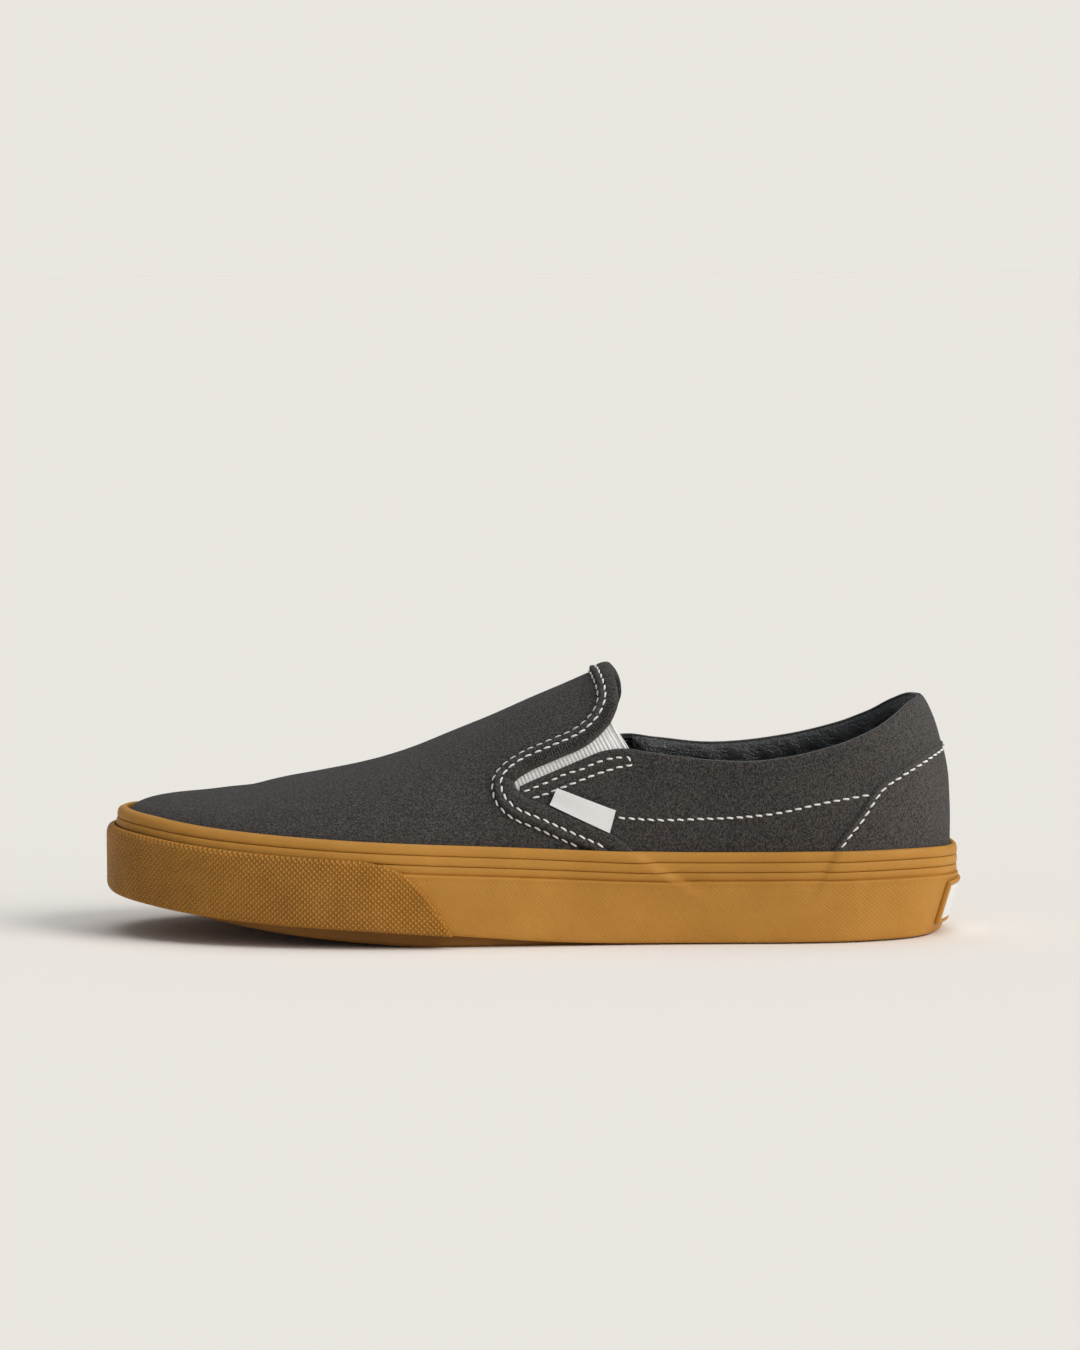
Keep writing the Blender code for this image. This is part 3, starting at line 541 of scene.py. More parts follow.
class Nodes:
    """Short way to write node networks."""

    def __init__(self, tree):
        self.tree = tree

    def new(self, kind, **values):
        node = self.tree.nodes.new(kind)
        for key, value in values.items():
            setattr(node, key, value)
        return node

    def link(self, source, target):
        self.tree.links.new(source, target)

    def math(self, operation, first, second=None, third=None):
        node = self.new("ShaderNodeMath", operation=operation)
        for i, value in enumerate((first, second, third)):
            if value is None:
                continue
            if isinstance(value, (int, float)):
                node.inputs[i].default_value = value
            else:
                self.link(value, node.inputs[i])
        return node.outputs[0]

    def position(self):
        return self.new("ShaderNodeTexCoord").outputs["Object"]

    def flat(self):
        node = self.new("ShaderNodeUVMap", uv_map="cloth")
        split = self.new("ShaderNodeSeparateXYZ")
        self.link(node.outputs[0], split.inputs[0])
        return split.outputs[0], split.outputs[1]

    def noise(self, scale, detail=3, rough=0.55, vector=None, stretch=None):
        node = self.new("ShaderNodeTexNoise")
        node.inputs["Scale"].default_value = scale
        node.inputs["Detail"].default_value = detail
        node.inputs["Roughness"].default_value = rough
        source = vector if vector is not None else self.position()
        if stretch is not None:
            scaling = self.new("ShaderNodeVectorMath", operation="MULTIPLY")
            scaling.inputs[1].default_value = stretch
            self.link(source, scaling.inputs[0])
            source = scaling.outputs[0]
        self.link(source, node.inputs["Vector"])
        return node.outputs[0]

    def ramp(self, value, stops):
        node = self.new("ShaderNodeValToRGB")
        self.link(value, node.inputs[0])
        elements = node.color_ramp.elements
        while len(elements) < len(stops):
            elements.new(0.5)
        for element, (place, colour) in zip(elements, stops):
            element.position = place
            element.color = (*colour, 1)
        return node.outputs[0]

    def bump(self, height, distance, strength=1.0, normal=None):
        node = self.new("ShaderNodeBump")
        node.inputs["Strength"].default_value = strength
        node.inputs["Distance"].default_value = distance
        self.link(height, node.inputs["Height"])
        if normal is not None:
            self.link(normal, node.inputs["Normal"])
        return node.outputs[0]

    def painted_highlight(self, middle, reach, amount):
        """Soft round painted highlight seen from the side, strongest in its middle: colour made lighter where light
        falls.
        """
        away = self.new("ShaderNodeVectorMath", operation="SUBTRACT")
        away.inputs[1].default_value = middle
        self.link(self.position(), away.inputs[0])
        flat = self.new("ShaderNodeVectorMath", operation="MULTIPLY")
        flat.inputs[1].default_value = (1, 0, 1)
        self.link(away.outputs[0], flat.inputs[0])
        size = self.new("ShaderNodeVectorMath", operation="LENGTH")
        self.link(flat.outputs[0], size.inputs[0])
        fade = self.new("ShaderNodeMapRange", interpolation_type="SMOOTHSTEP")
        fade.inputs["From Min"].default_value = 0.0
        fade.inputs["From Max"].default_value = reach
        fade.inputs["To Min"].default_value = amount
        fade.inputs["To Max"].default_value = 0.0
        self.link(size.outputs["Value"], fade.inputs["Value"])
        return fade.outputs["Result"]

    def weave(self, pitch):
        """Plain weave height from position, blended over the three directions."""
        split = self.new("ShaderNodeSeparateXYZ")
        self.link(self.position(), split.inputs[0])
        geometry = self.new("ShaderNodeNewGeometry")
        facing_to = self.new("ShaderNodeSeparateXYZ")
        self.link(geometry.outputs["Normal"], facing_to.inputs[0])
        waves = []
        for axis in range(3):
            turned = self.math("MULTIPLY", split.outputs[axis], 2 * math.pi / pitch)
            waves.append(self.math("SINE", turned))
        total = None
        for axis, pair in enumerate(((1, 2), (0, 2), (0, 1))):
            weight = self.math("POWER", self.math("ABSOLUTE", facing_to.outputs[axis]), 4.0)
            cross = self.math("MULTIPLY", self.math("MULTIPLY", waves[pair[0]], waves[pair[1]]), weight)
            total = cross if total is None else self.math("ADD", total, cross)
        return total


def canvas_look(name, dark, mid, light, weave=1.0):
    made, tree, shader = shader_of(name, 0.92, sheen=0.08, specular=0.15)
    n = Nodes(tree)
    upright = n.noise(2300, 1, 0.5, stretch=(1.0, 1.0, 0.50))
    level = n.noise(2300, 1, 0.5, stretch=(0.50, 0.50, 1.0))
    patch = n.noise(45, 3, 0.5)
    yarn = n.math("ADD", n.math("MULTIPLY", upright, 0.58), n.math("MULTIPLY", level, 0.36))
    mixed = n.math("ADD", yarn, n.math("MULTIPLY", patch, 0.06))
    # Painted highlight: the canvas is painted lighter round the upper back of the heel, where the light falls on it.
    mixed = n.math("ADD", mixed, n.painted_highlight((0.117, 0.0, 0.062), 0.050, 0.055))
    n.link(n.ramp(mixed, ((0.40, dark), (0.50, mid), (0.61, light))), shader.inputs["Base Color"])
    cross = n.weave(0.0007)
    height = n.math("ADD", n.math("MULTIPLY", cross, 0.5 * weave), n.math("MULTIPLY", yarn, 1.4))
    n.link(n.bump(height, 0.00035, 0.7), shader.inputs["Normal"])
    return made


def gum_look(name, dark, mid, light, diagonal=0.0, diamonds=False, roughness=0.55):
    made, tree, shader = shader_of(name, roughness, sheen=0.0, specular=0.25)
    n = Nodes(tree)
    patch = n.noise(70, 4, 0.55)
    fine = n.noise(900, 3, 0.6)
    mixed = n.math("ADD", n.math("MULTIPLY", patch, 0.7), n.math("MULTIPLY", fine, 0.3))
    height = n.math("MULTIPLY", fine, 0.5)
    u, w = n.flat()
    if diagonal:
        across = n.math("ADD", u, n.math("MULTIPLY", w, 1.2))
        line = n.math("SINE", n.math("MULTIPLY", across, 2 * math.pi / 0.0016))
        dashes = n.noise(420, 2, 0.5)
        line = n.math("MULTIPLY", n.math("MULTIPLY", line, dashes), n.math("LESS_THAN", w, 0.0202))
        height = n.math("ADD", height, n.math("MULTIPLY", line, diagonal))
        mixed = n.math("ADD", mixed, n.math("MULTIPLY", line, 0.05))
    if diamonds:
        pitch = 0.0019
        cells = []
        for sign in (1, -1):
            skew = n.math("ADD", n.math("DIVIDE", u, pitch), n.math("DIVIDE", n.math("MULTIPLY", w, sign), pitch))
            share = n.math("FRACT", skew)
            cells.append(n.math("MULTIPLY", n.math("ABSOLUTE", n.math("SUBTRACT", share, 0.5)), 2.0))
        peak = n.math("SUBTRACT", 1.0, n.math("MAXIMUM", cells[0], cells[1]))
        height = n.math("ADD", n.math("MULTIPLY", height, 0.2), n.math("MULTIPLY", peak, 1.3))
        # Painted highlight and shade: the colour follows the diamond relief, with lighter peaks and darker furrows
        # between them.
        mixed = n.math("ADD", mixed, n.math("MULTIPLY", n.math("SUBTRACT", peak, 0.33), 0.45))
    n.link(n.ramp(mixed, ((0.32, dark), (0.5, mid), (0.70, light))), shader.inputs["Base Color"])
    n.link(n.bump(height, 0.0006 if diamonds else 0.00025, 0.9), shader.inputs["Normal"])
    return made


def plain_cloth_look(name, colour, variation, scale, depth, ribs=None, roughness=0.9):
    made, tree, shader = shader_of(name, roughness, sheen=0.1, specular=0.2)
    n = Nodes(tree)
    fine = n.noise(scale, 3, 0.6)
    low = tuple(c * (1 - variation) for c in colour)
    high = tuple(min(1, c * (1 + variation)) for c in colour)
    n.link(n.ramp(fine, ((0.3, low), (0.7, high))), shader.inputs["Base Color"])
    height = fine
    if ribs:
        u, w = n.flat()
        wave = n.math("SINE", n.math("MULTIPLY", u, 2 * math.pi / ribs))
        height = n.math("ADD", height, n.math("MULTIPLY", wave, 0.8))
    n.link(n.bump(height, depth, 0.8), shader.inputs["Normal"])
    return made


def leather_look(name, colour):
    made, tree, shader = shader_of(name, 0.36, sheen=0.0, specular=0.5)
    n = Nodes(tree)
    cell = n.new("ShaderNodeTexVoronoi", feature="F1")
    cell.inputs["Scale"].default_value = 1500
    cell.inputs["Randomness"].default_value = 1.0
    n.link(n.position(), cell.inputs["Vector"])
    pebble = n.math("SUBTRACT", 1.0, n.math("POWER", cell.outputs["Distance"], 1.5))
    wave = n.noise(210, 3, 0.6, stretch=(1.0, 1.0, 1.7))
    wrinkle = n.math("ABSOLUTE", n.math("SUBTRACT", wave, 0.5))
    wrinkle = n.math("MINIMUM", n.math("MULTIPLY", wrinkle, 12.0), 1.0)
    height = n.math("ADD", n.math("MULTIPLY", pebble, 0.3), n.math("MULTIPLY", wrinkle, 0.6))
    low = tuple(c * 0.85 for c in colour)
    high = tuple(c * 1.2 for c in colour)
    n.link(n.ramp(pebble, ((0.35, low), (0.8, high))), shader.inputs["Base Color"])
    n.link(n.bump(height, 0.00035, 0.8), shader.inputs["Normal"])
    return made


# Stitches

def stitch_rows(name, rows, look, length=0.0026, gap=0.0007, radius=0.00032):
    """Mesh of short thread capsules along rows of (points, normals)."""
    verts = []
    faces = []
    ring, rings = 8, 7
    tau = np.linspace(0, 1, rings)
    swell = np.sqrt(np.clip(1 - (2 * tau - 1) ** 4, 0, 1))
    turn = np.arange(ring) * 2 * math.pi / ring
    cap = np.array([(0, 1, 2, 3), (0, 3, 4, 7), (7, 4, 5, 6)])
    capsule = np.vstack([grid_faces(rings, ring, around=True), cap[:, ::-1], cap + ring * (rings - 1)])
    rng = np.random.default_rng(7)
    for points, normals in rows:
        run = np.concatenate([[0], np.cumsum(np.linalg.norm(np.diff(points, axis=0), axis=1))])
        count = max(1, round(run[-1] / (length + gap)))
        pitch = run[-1] / count
        size = length * pitch / (length + gap)
        for k in range(count):
            start = k * pitch + (pitch - size) / 2 + rng.uniform(-0.00012, 0.00012)
            s = start + tau * size
            p = np.stack([np.interp(s, run, points[:, i]) for i in range(3)], -1)
            n = np.stack([np.interp(s, run, normals[:, i]) for i in range(3)], -1)
            n /= np.linalg.norm(n, axis=1, keepdims=True)
            t = np.gradient(p, axis=0)
            t /= np.linalg.norm(t, axis=1, keepdims=True)
            b = np.cross(t, n)
            lean = rng.uniform(0.00030, 0.00048)
            p = p + b * ((tau - 0.5) * lean)[:, None]
            p = p + n * (radius * (1.25 * np.sin(math.pi * tau) ** 0.6 - 0.75))[:, None]
            r = radius * np.maximum(swell, 0.12)
            loop = p[:, None] + r[:, None, None] * (
                np.cos(turn)[None, :, None] * b[:, None] * 1.1 + np.sin(turn)[None, :, None] * n[:, None]
            )
            start = len(verts) * ring * rings
            verts.append(loop.reshape(-1, 3))
            faces.append(capsule + start)
    made = add_mesh(name, np.vstack(verts), np.vstack(faces), look, sharp=180)
    return made


# The canvas upper

def build_upper(look, inner_look):
    """Outer canvas and its inside, trimmed just inside the rolled edges that cover them."""
    a = np.arange(620) * 2 / 620
    low = rise_of(a, foxing_top(a) - 0.004)
    t = np.linspace(0, 1, 84)[None, :]
    v = low[:, None] + (1 - low[:, None]) * t
    grid_a = np.broadcast_to(a[:, None], v.shape)
    points = cloth(grid_a, v)
    plain = section(grid_a, v)
    cut = in_throat(plain[..., 0], plain[..., 2], 0.0016)
    rolled = np.roll(cut, -1, 0)
    keep = ~(cut[:, :-1] | cut[:, 1:] | rolled[:, :-1] | rolled[:, 1:])
    shell = grid_object("canvas_upper", points, look, closed=True, keep=keep, sharp=180)
    belongs(shell, "canvas", "upper")
    a = np.arange(300) * 2 / 300
    v = np.broadcast_to(np.linspace(0.02, 1, 60)[None, :], (300, 60))
    grid_a = np.broadcast_to(a[:, None], v.shape)
    points = cloth(grid_a, v, -WALL)
    plain = section(grid_a, v)
    cut = in_throat(plain[..., 0], plain[..., 2], 0.0022)
    rolled = np.roll(cut, -1, 0)
    keep = ~(cut[:, :-1] | cut[:, 1:] | rolled[:, :-1] | rolled[:, 1:])
    inside = grid_object("vamp_lining", points, inner_look, flip=True, closed=True, keep=keep, sharp=180)
    belongs(inside, "insole_cloth")


def band_paths(side, count=900):
    """Places on the band by its distance from the rear edge: turn and v at each step and width."""
    line = np.vstack([side_table(FLAP_EDGE)[2:-1], side_table(LEG_EDGE)])
    line = flow(line, count)
    a, v = on_side(line[:, 0], line[:, 1], side)
    ridge = ridge_turn(TOE_X + LAST_LENGTH * 0.5900)
    lead = np.linspace(0, 1, 46)[:-1]
    start_a = (ridge if side < 0 else 2 - ridge) * (1 - lead) + a[0] * lead
    start_v = 1 - (1 - v[0]) * lead
    a = np.concatenate([start_a, a])
    v = np.concatenate([start_v, v])
    base = section(a, v)
    smooth_base = base.copy()
    for _ in range(3):
        smooth_base[1:-1] = (smooth_base[:-2] + 2 * smooth_base[1:-1] + smooth_base[2:]) / 4
    tangent = np.gradient(smooth_base, axis=0)
    tangent[0, 0] = 0
    tangent /= np.linalg.norm(tangent, axis=1, keepdims=True)
    inward = np.cross(tangent, facing(a, np.minimum(v, 0.9995))) * -side
    widths = np.array([0.0, 0.002, 0.004, 0.006, 0.0085, 0.0105])
    places = [(a, v)]
    for low, high in zip(widths[:-1], widths[1:]):
        pa, pv = places[-1]
        places.append(locate(section(pa, pv) + inward * (high - low), pa, pv))
    run = np.concatenate([[0], np.cumsum(np.linalg.norm(np.diff(base, axis=0), axis=1))])
    return widths, np.array([p[0] for p in places]), np.array([p[1] for p in places]), run


def ridge_turn(x):
    """Turn at which the ridge passes x."""
    table = np.linspace(0, 1, 401)
    return np.interp(x, spline_at(RIDGE_X, table), table)


def locate(target, a, v):
    """Turn and v of the skin's points nearest to the targets, starting from a guess."""
    for _ in range(8):
        step = 1e-4
        here = section(a, v)
        along = (section(a + step, v) - section(a - step, v)) / (2 * step)
        rise = (section(a, np.clip(v, 0, 1 - step) + step) - section(a, np.clip(v, 0, 1 - step))) / step
        miss = target - here
        aa = (along * along).sum(-1)
        rr = (rise * rise).sum(-1)
        ar = (along * rise).sum(-1)
        ma = (miss * along).sum(-1)
        mr = (miss * rise).sum(-1)
        det = np.maximum(aa * rr - ar * ar, 1e-18)
        a = a + np.clip((ma * rr - mr * ar) / det, -0.05, 0.05)
        v = np.clip(v + np.clip((mr * aa - ma * ar) / det, -0.05, 0.05), 0, 0.9998)
    return a, v


def at_width(paths, w):
    """Turn and v at distance w (one per step) from the rear edge."""
    widths, turn, rise, _ = paths
    a = np.empty(len(w))
    v = np.empty(len(w))
    for i, value in enumerate(w):
        a[i] = np.interp(value, widths, turn[:, i])
        v[i] = np.interp(value, widths, rise[:, i])
    return a, v


def band_facts(paths):
    """Share of each step that is leg (0 on the flap, 1 on the leg), and the band's width."""
    run = paths[3]
    widths, turn, rise, _ = paths
    x = section(turn[0], rise[0])[:, 0]
    notch = run[np.argmin(x)]
    leg = smooth((run - notch + 0.002) / 0.006)
    width = BAND_WIDTH + (LEG_WIDTH - BAND_WIDTH) * leg
    return leg, width, notch


def build_band(look):
    """Folded band with a raised seam in front, rolled over the flap's edge at the back."""
    thread = []
    for side in (-1, 1):
        paths = band_paths(side)
        leg, width, notch = band_facts(paths)
        run = paths[3]
        # distance in front of the rear edge as a share of the width, and height over the canvas
        profile = (
            (1.000, -0.0008), (0.998, 0.0003), (0.985, 0.0012), (0.95, 0.00165), (0.87, 0.00185), (0.79, 0.0016),
            (0.71, 0.0011), (0.66, 0.0008), (0.61, 0.0011), (0.54, 0.0014), (0.42, 0.0015), (0.30, 0.00145),
            (0.19, 0.00135), (0.10, 0.0012), (0.045, 0.0009), (0.012, 0.00045), (0.0, -0.0001),
            (0.012, -0.0010), (0.03, -0.0020), (0.08, -0.0027), (0.20, -0.0030), (0.45, -0.0029), (0.60, -0.0022),
        )
        rows = []
        for share, height in profile:
            a, v = at_width(paths, width * min(share, 1.3))
            lift = np.full(len(run), height)
            if height < -0.0004:
                lift = height * (1 - leg) + leg * -0.0009
            elif share < 0.5:
                gather = np.sin(run * 2 * math.pi / 0.00088 + 1.5 * np.sin(run * 400))
                gather = gather * smooth((run - notch + 0.052) / 0.010) * smooth((notch - 0.003 - run) / 0.005)
                lift = lift + 0.00022 * gather * smooth((0.58 - share) / 0.2)
                lift = lift - 0.0009 * np.exp(-(((run - notch + 0.0006) / 0.0006) ** 2))
            if height > 0:
                sink = smooth((foxing_top(a) + 0.0045 - section(a, v)[:, 2]) / 0.008)
                lift = lift * (1 - 0.35 * sink)
            rows.append(cloth(a, v, lift))
        points = np.stack(rows, 1)
        made = grid_object("vamp_band_" + ("outer" if side < 0 else "inner"), points, look, flip=side > 0, sharp=180)
        belongs(made, "canvas", *(("vamp_edge_band",) if side < 0 else ()))
        for share, height in ((1.085, 0.00032), (0.655, 0.0011)):
            a, v = at_width(paths, width * share)
            above = section(a, v)[:, 2] > foxing_top(a) + 0.0008
            last = np.argmax(~above) if (~above).any() else len(above)
            points = cloth(a, v, height)[:last]
            thread.append((points, facing(a, np.minimum(v, 0.9995))[:last]))
    return thread


def build_collar(look, lit_edge_look):
    """Folded canvas edge along the quarter and the collar, with a thin cord inside for the lining's top edge, painted
    light grey as a painted highlight.
    """
    start = float(on_side(TOE_X + LAST_LENGTH * 0.4880, INSTEP_HEIGHT * 0.652, -1)[0])
    a = np.linspace(start, 2 - start, 900)
    top = edge_height(a)
    profile = (
        (-0.0004, 0.0062), (0.00003, 0.0056), (0.00010, 0.0044), (0.00018, 0.0030), (0.00024, 0.0018),
        (0.00020, 0.0009), (0.00005, 0.0003), (-0.0003, 0.00004), (-0.0008, 0.0001), (-0.0013, 0.0005),
        (-0.0017, 0.0011),
    )
    rows = [cloth(a, rise_of(a, top - drop), offset) for offset, drop in profile]
    made = grid_object("collar_fold", np.stack(rows, 1), look, sharp=180)
    belongs(made, "canvas")
    behind = a[(a > 0.572) & (a < 2 - 0.572)]
    top = edge_height(behind)
    centre = cloth(behind, rise_of(behind, top), -0.0011)
    # The cord is the dark lining's rolled top edge; its light grey colour is a painted highlight where light catches
    # that edge.
    tube_along("collar_lining_top_edge", centre, facing(behind, rise_of(behind, top)), 0.00032, lit_edge_look)


def tube_along(name, centre, normal, radius, look, slot="lining_leather"):
    """Thin cord along a path of points."""
    tangent = np.gradient(centre, axis=0)
    tangent /= np.linalg.norm(tangent, axis=1, keepdims=True)
    across = np.cross(tangent, normal)
    across /= np.linalg.norm(across, axis=1, keepdims=True)
    turn = np.arange(8) * math.pi / 4
    points = centre[:, None] + radius * (
        np.cos(turn)[None, :, None] * normal[:, None] + np.sin(turn)[None, :, None] * across[:, None]
    )
    made = grid_object(name, points, look, flip=True, around=True, sharp=180)
    return belongs(made, slot)


def build_gore(side, look):
    """Ribbed elastic behind the notch."""
    flap = flow(side_table(FLAP_EDGE[8:]), 200)[::-1]
    low = flow(side_table(COLLAR_EDGE[1:10]), 200)
    spread = np.interp(np.linspace(0, 1, 200), (0, 0.3, 1), (0.003, 0.0055, 0.0050))[:, None]
    over = flap + spread * np.array([[-0.35, 1.0]])
    below = low + spread * np.array([[0.35, -1.0]])
    over[:, 0] -= 0.003 * (1 - np.linspace(0, 1, 200))
    below[:, 0] -= 0.003 * (1 - np.linspace(0, 1, 200))
    if side > 0:
        over, below = (flow(line[:182], 200) for line in (over, below))
    t = np.linspace(0, 1, 44)[None, :, None]
    grid = below[:, None] * (1 - t) + over[:, None] * t
    a, v = on_side(grid[..., 0], grid[..., 1], side)
    end = (grid[-1:, :, 0] * 0.77 + grid[-1:, :, 1] * 0.64)
    back = end - (grid[..., 0] * 0.77 + grid[..., 1] * 0.64)
    rib = np.abs(np.sin(back * math.pi / 0.00122)) ** 0.7
    selvage = smooth((0.0034 - back) / 0.0005)
    lines = np.abs(np.sin(back * math.pi / 0.0011)) ** 0.4
    height = 0.00034 * rib * (1 - selvage) + selvage * 0.00030 * lines
    deep = -WALL - GAP - 0.0002
    points = skin(a, v, deep - 0.0004 + height + relief(a, v))
    made = grid_object("elastic_" + ("outer" if side < 0 else "inner"), points, look, flip=side > 0, sharp=180)
    belongs(made, "elastic", "gore_lateral" if side < 0 else "gore_medial")
    rim = skin(a[-1], v[-1], deep - 0.0004)
    tube_along("elastic_edge_" + ("outer" if side < 0 else "inner"), rim, facing(a[-1], v[-1]), 0.0005, look, "elastic")
    back_points = skin(a, v, deep - 0.0011)
    made = grid_object("elastic_back_" + ("outer" if side < 0 else "inner"), back_points, look, flip=side < 0)
    belongs(made, "elastic")


def counter_grid(columns=360, rows=46):
    """Turns and heights over the heel panel, and the distance to its swept edge."""
    line = flow(side_table(COUNTER_EDGE), 300)
    start = float(on_side(float(line[0, 0]), float(foxing_top(0.76)), -1)[0])
    u = np.linspace(-1, 1, columns)
    a = 1 + (1 - start) * np.sign(u) * np.abs(u) ** 0.9
    low = foxing_top(a) - 0.002
    high = low + 0.02
    for _ in range(30):
        x = section(a, rise_of(a, high))[:, 0]
        high = 0.5 * high + 0.5 * np.maximum(np.interp(x, line[:, 0], line[:, 1]), low + 0.0015)
    t = 1 - (1 - np.linspace(0, 1, rows)) ** 1.6
    z = low[:, None] * (1 - t[None]) + high[:, None] * t[None]
    return a, z, high


def build_counter(look):
    """Heel panel with a raised, folded upper edge."""
    a, z, high = counter_grid()
    grid_a = np.broadcast_to(a[:, None], z.shape)
    v = rise_of(grid_a, z)
    base = section(grid_a, v)
    edge_line = base[:, -1]
    slope = np.abs(np.gradient(edge_line[:, 2])) / (np.linalg.norm(np.gradient(edge_line, axis=0), axis=1) + 1e-9)
    lean = np.sqrt(np.clip(1 - slope**2, 0.05, 1))
    gap = (high[:, None] - z) * lean[:, None]
    behind = smooth((share_x(base[..., 0]) - 0.955) / 0.03)
    thick = 0.0013 - 0.0009 * behind * (1 - smooth(gap / 0.014))
    lift = thick * np.clip(gap / 0.0005, 0, 1) ** 0.5 + 0.00025 * np.exp(-(((gap - 0.0007) / 0.0006) ** 2))
    lift = lift - 0.00022 * np.exp(-(((gap - 0.0019) / 0.0006) ** 2))
    lift[:, -1] = -0.0002
    points = cloth(grid_a, v, lift)
    made = grid_object("heel_panel", points, look, sharp=180)
    belongs(made, "canvas", "heel_counter")
    drop = 0.0019 / lean
    thread = []
    row_v = rise_of(a, high - drop)
    ok = high - drop > foxing_top(a) + 0.0006
    thread.append((cloth(a, row_v, 0.0012)[ok], facing(a, row_v)[ok]))
    return thread


def side_row(points, side, count, offset=0.0):
    """Row of points and normals for stitches, from a side view table in metres."""
    line = flow(np.asarray(points), count)
    a, v = on_side(line[:, 0], line[:, 1], side)
    return cloth(a, v, offset), facing(a, v)


# Rows of stitches on the quarter seen from the side, in metres
STRAP_ROW = (
    (-0.0029, 0.0508), (0.0056, 0.0541), (0.0115, 0.0567), (0.0169, 0.0582), (0.0199, 0.0596), (0.0243, 0.0612),
    (0.0283, 0.0620), (0.0323, 0.0622), (0.0335, 0.0610), (0.0335, 0.0598), (0.0318, 0.0595), (0.0298, 0.0591),
    (0.0258, 0.0579), (0.0219, 0.0567), (0.0159, 0.0544), (0.0120, 0.0529), (0.0060, 0.0506), (0.0001, 0.0487),
)
COLLAR_ROW = (
    (0.0288, 0.0425), (0.0429, 0.0416), (0.0563, 0.0419), (0.0698, 0.0424), (0.0832, 0.0438), (0.0966, 0.0467),
    (0.1033, 0.0479), (0.1140, 0.0496),
)


def quarter_rows():
    rows = []
    for side in (-1, 1):
        rows.append(side_row(STRAP_ROW, side, 160))
        start = () if side < 0 else ((0.0155, 0.0438),)
        rows.append(side_row(start + COLLAR_ROW, side, 160))
    return rows


def build_lining(look):
    """Padded pebbled lining inside the collar."""
    start = 0.578
    a = np.linspace(start, 2 - start, 420)
    top = edge_height(a)
    depth = np.array([0.0002, 0.0010, 0.0024, 0.0042, 0.0065, 0.0100, 0.0140, 0.0180, 0.0215, 0.0245, 0.0270, 0.0285])
    pad = np.array([-0.0008, 0.0006, 0.0018, 0.0026, 0.0031, 0.0034, 0.0033, 0.0030, 0.0025, 0.0018, 0.0008, 0.0])
    fine = np.linspace(0, 1, 46)
    shares = np.linspace(0, 1, len(depth))
    depth = np.interp(fine, shares, depth)
    pad = np.interp(fine, shares, pad)
    z = top[:, None] - depth[None, :]
    grid_a = np.broadcast_to(a[:, None], z.shape)
    v = rise_of(grid_a, z)
    x = section(grid_a, v)[..., 0]
    end = smooth((x - TOE_X - LAST_LENGTH * 0.60) / 0.012)
    wrinkle = 0.00035 * np.sin(x * 520 + z * 160) * np.sin(z * 300 + x * 90) * np.minimum(pad / 0.003, 1)[None, :]
    points = skin(grid_a, v, -WALL - GAP - pad[None, :] * (0.35 + 0.65 * end) + wrinkle + relief(grid_a, v))
    made = grid_object("padded_lining", points, look, flip=True, sharp=180)
    belongs(made, "lining_leather", "collar_lining")


def build_label(look):
    """Blank pale flag caught in the seam, standing off a little at its free end."""
    corners = side_table(LABEL_CORNERS)
    u = np.linspace(0, 1, 40)[:, None, None]
    w = np.linspace(-0.12, 1, 20)[None, :, None]
    top = corners[0] * (1 - u) + corners[1] * u
    low = corners[3] * (1 - u) + corners[2] * u
    grid = low * (1 - w) + top * w
    a, v = on_side(grid[..., 0], grid[..., 1], -1)
    lift = 0.0007 + 0.0009 * smooth(w[..., 0]) * (0.6 + 0.4 * np.cos(u[..., 0] * 3.0))
    front = cloth(a, v, lift + 0.0007)
    back = cloth(a, v, lift)
    verts = np.vstack([front.reshape(-1, 3), back.reshape(-1, 3)])
    faces = [grid_faces(40, 20)[:, ::-1] * 1, grid_faces(40, 20) + 800]
    faces[0], faces[1] = faces[0][:, ::-1], faces[1][:, ::-1]
    index = np.arange(800).reshape(40, 20)
    border = np.concatenate([index[:, 0], index[-1, 1:], index[-2::-1, -1], index[0, -2:0:-1]])
    nxt = np.roll(border, -1)
    faces.append(np.stack([border, nxt, nxt + 800, border + 800], -1)[:, ::-1])
    uv = np.vstack([lengths(front).reshape(-1, 2)] * 2)
    made = add_mesh("blank_label", verts, np.vstack(faces), look, uv, sharp=40)
    belongs(made, "label_cloth", "side_label")


# Rubber sole

def foxing_face(a):
    """Offset of the foxing's main face, thicker at the toe and where the heel strip laps it."""
    share = share_x(edge(a)[0])
    toe = smooth((0.055 - share) / 0.05)
    heel = smooth((share - 0.93) / 0.05)
    return FOXING_THICKNESS + 0.0009 * toe + 0.0013 * heel


# Cross section of the foxing. The lower rows give (offset from the main face, height over the
# lower edge), the upper rows (offset from the main face, distance below the upper edge).
FOXING_LOW = ((-0.0026, 0.0), (-0.0014, 0.0), (-0.0006, 0.00012), (-0.0002, 0.0005), (0.0, 0.0012))
FOXING_HIGH = (
    (0.0, 0.01120),
    (0.00012, 0.01070),
    (0.00016, 0.01030),
    (0.00002, 0.01000),
    (-0.00040, 0.00984),
    (-0.00125, 0.00978),
    (-0.00130, 0.00965),
    (-0.00100, 0.00930),
    (-0.00082, 0.00860),
    (-0.00080, 0.00780),
    (-0.00086, 0.00715),
    (-0.00105, 0.00694),
    (-0.00160, 0.00682),
    (-0.00105, 0.00670),
    (-0.00078, 0.00645),
    (-0.00066, 0.00570),
    (-0.00066, 0.00460),
    (-0.00078, 0.00390),
    (-0.00100, 0.00362),
    (-0.00155, 0.00350),
    (-0.00100, 0.00338),
    (-0.00074, 0.00310),
    (-0.00062, 0.00220),
    (-0.00070, 0.00120),
    (-0.00095, 0.00050),
    (-0.00140, 0.00010),
    (-0.00195, 0.0),
    (-0.00260, 0.00012),
)

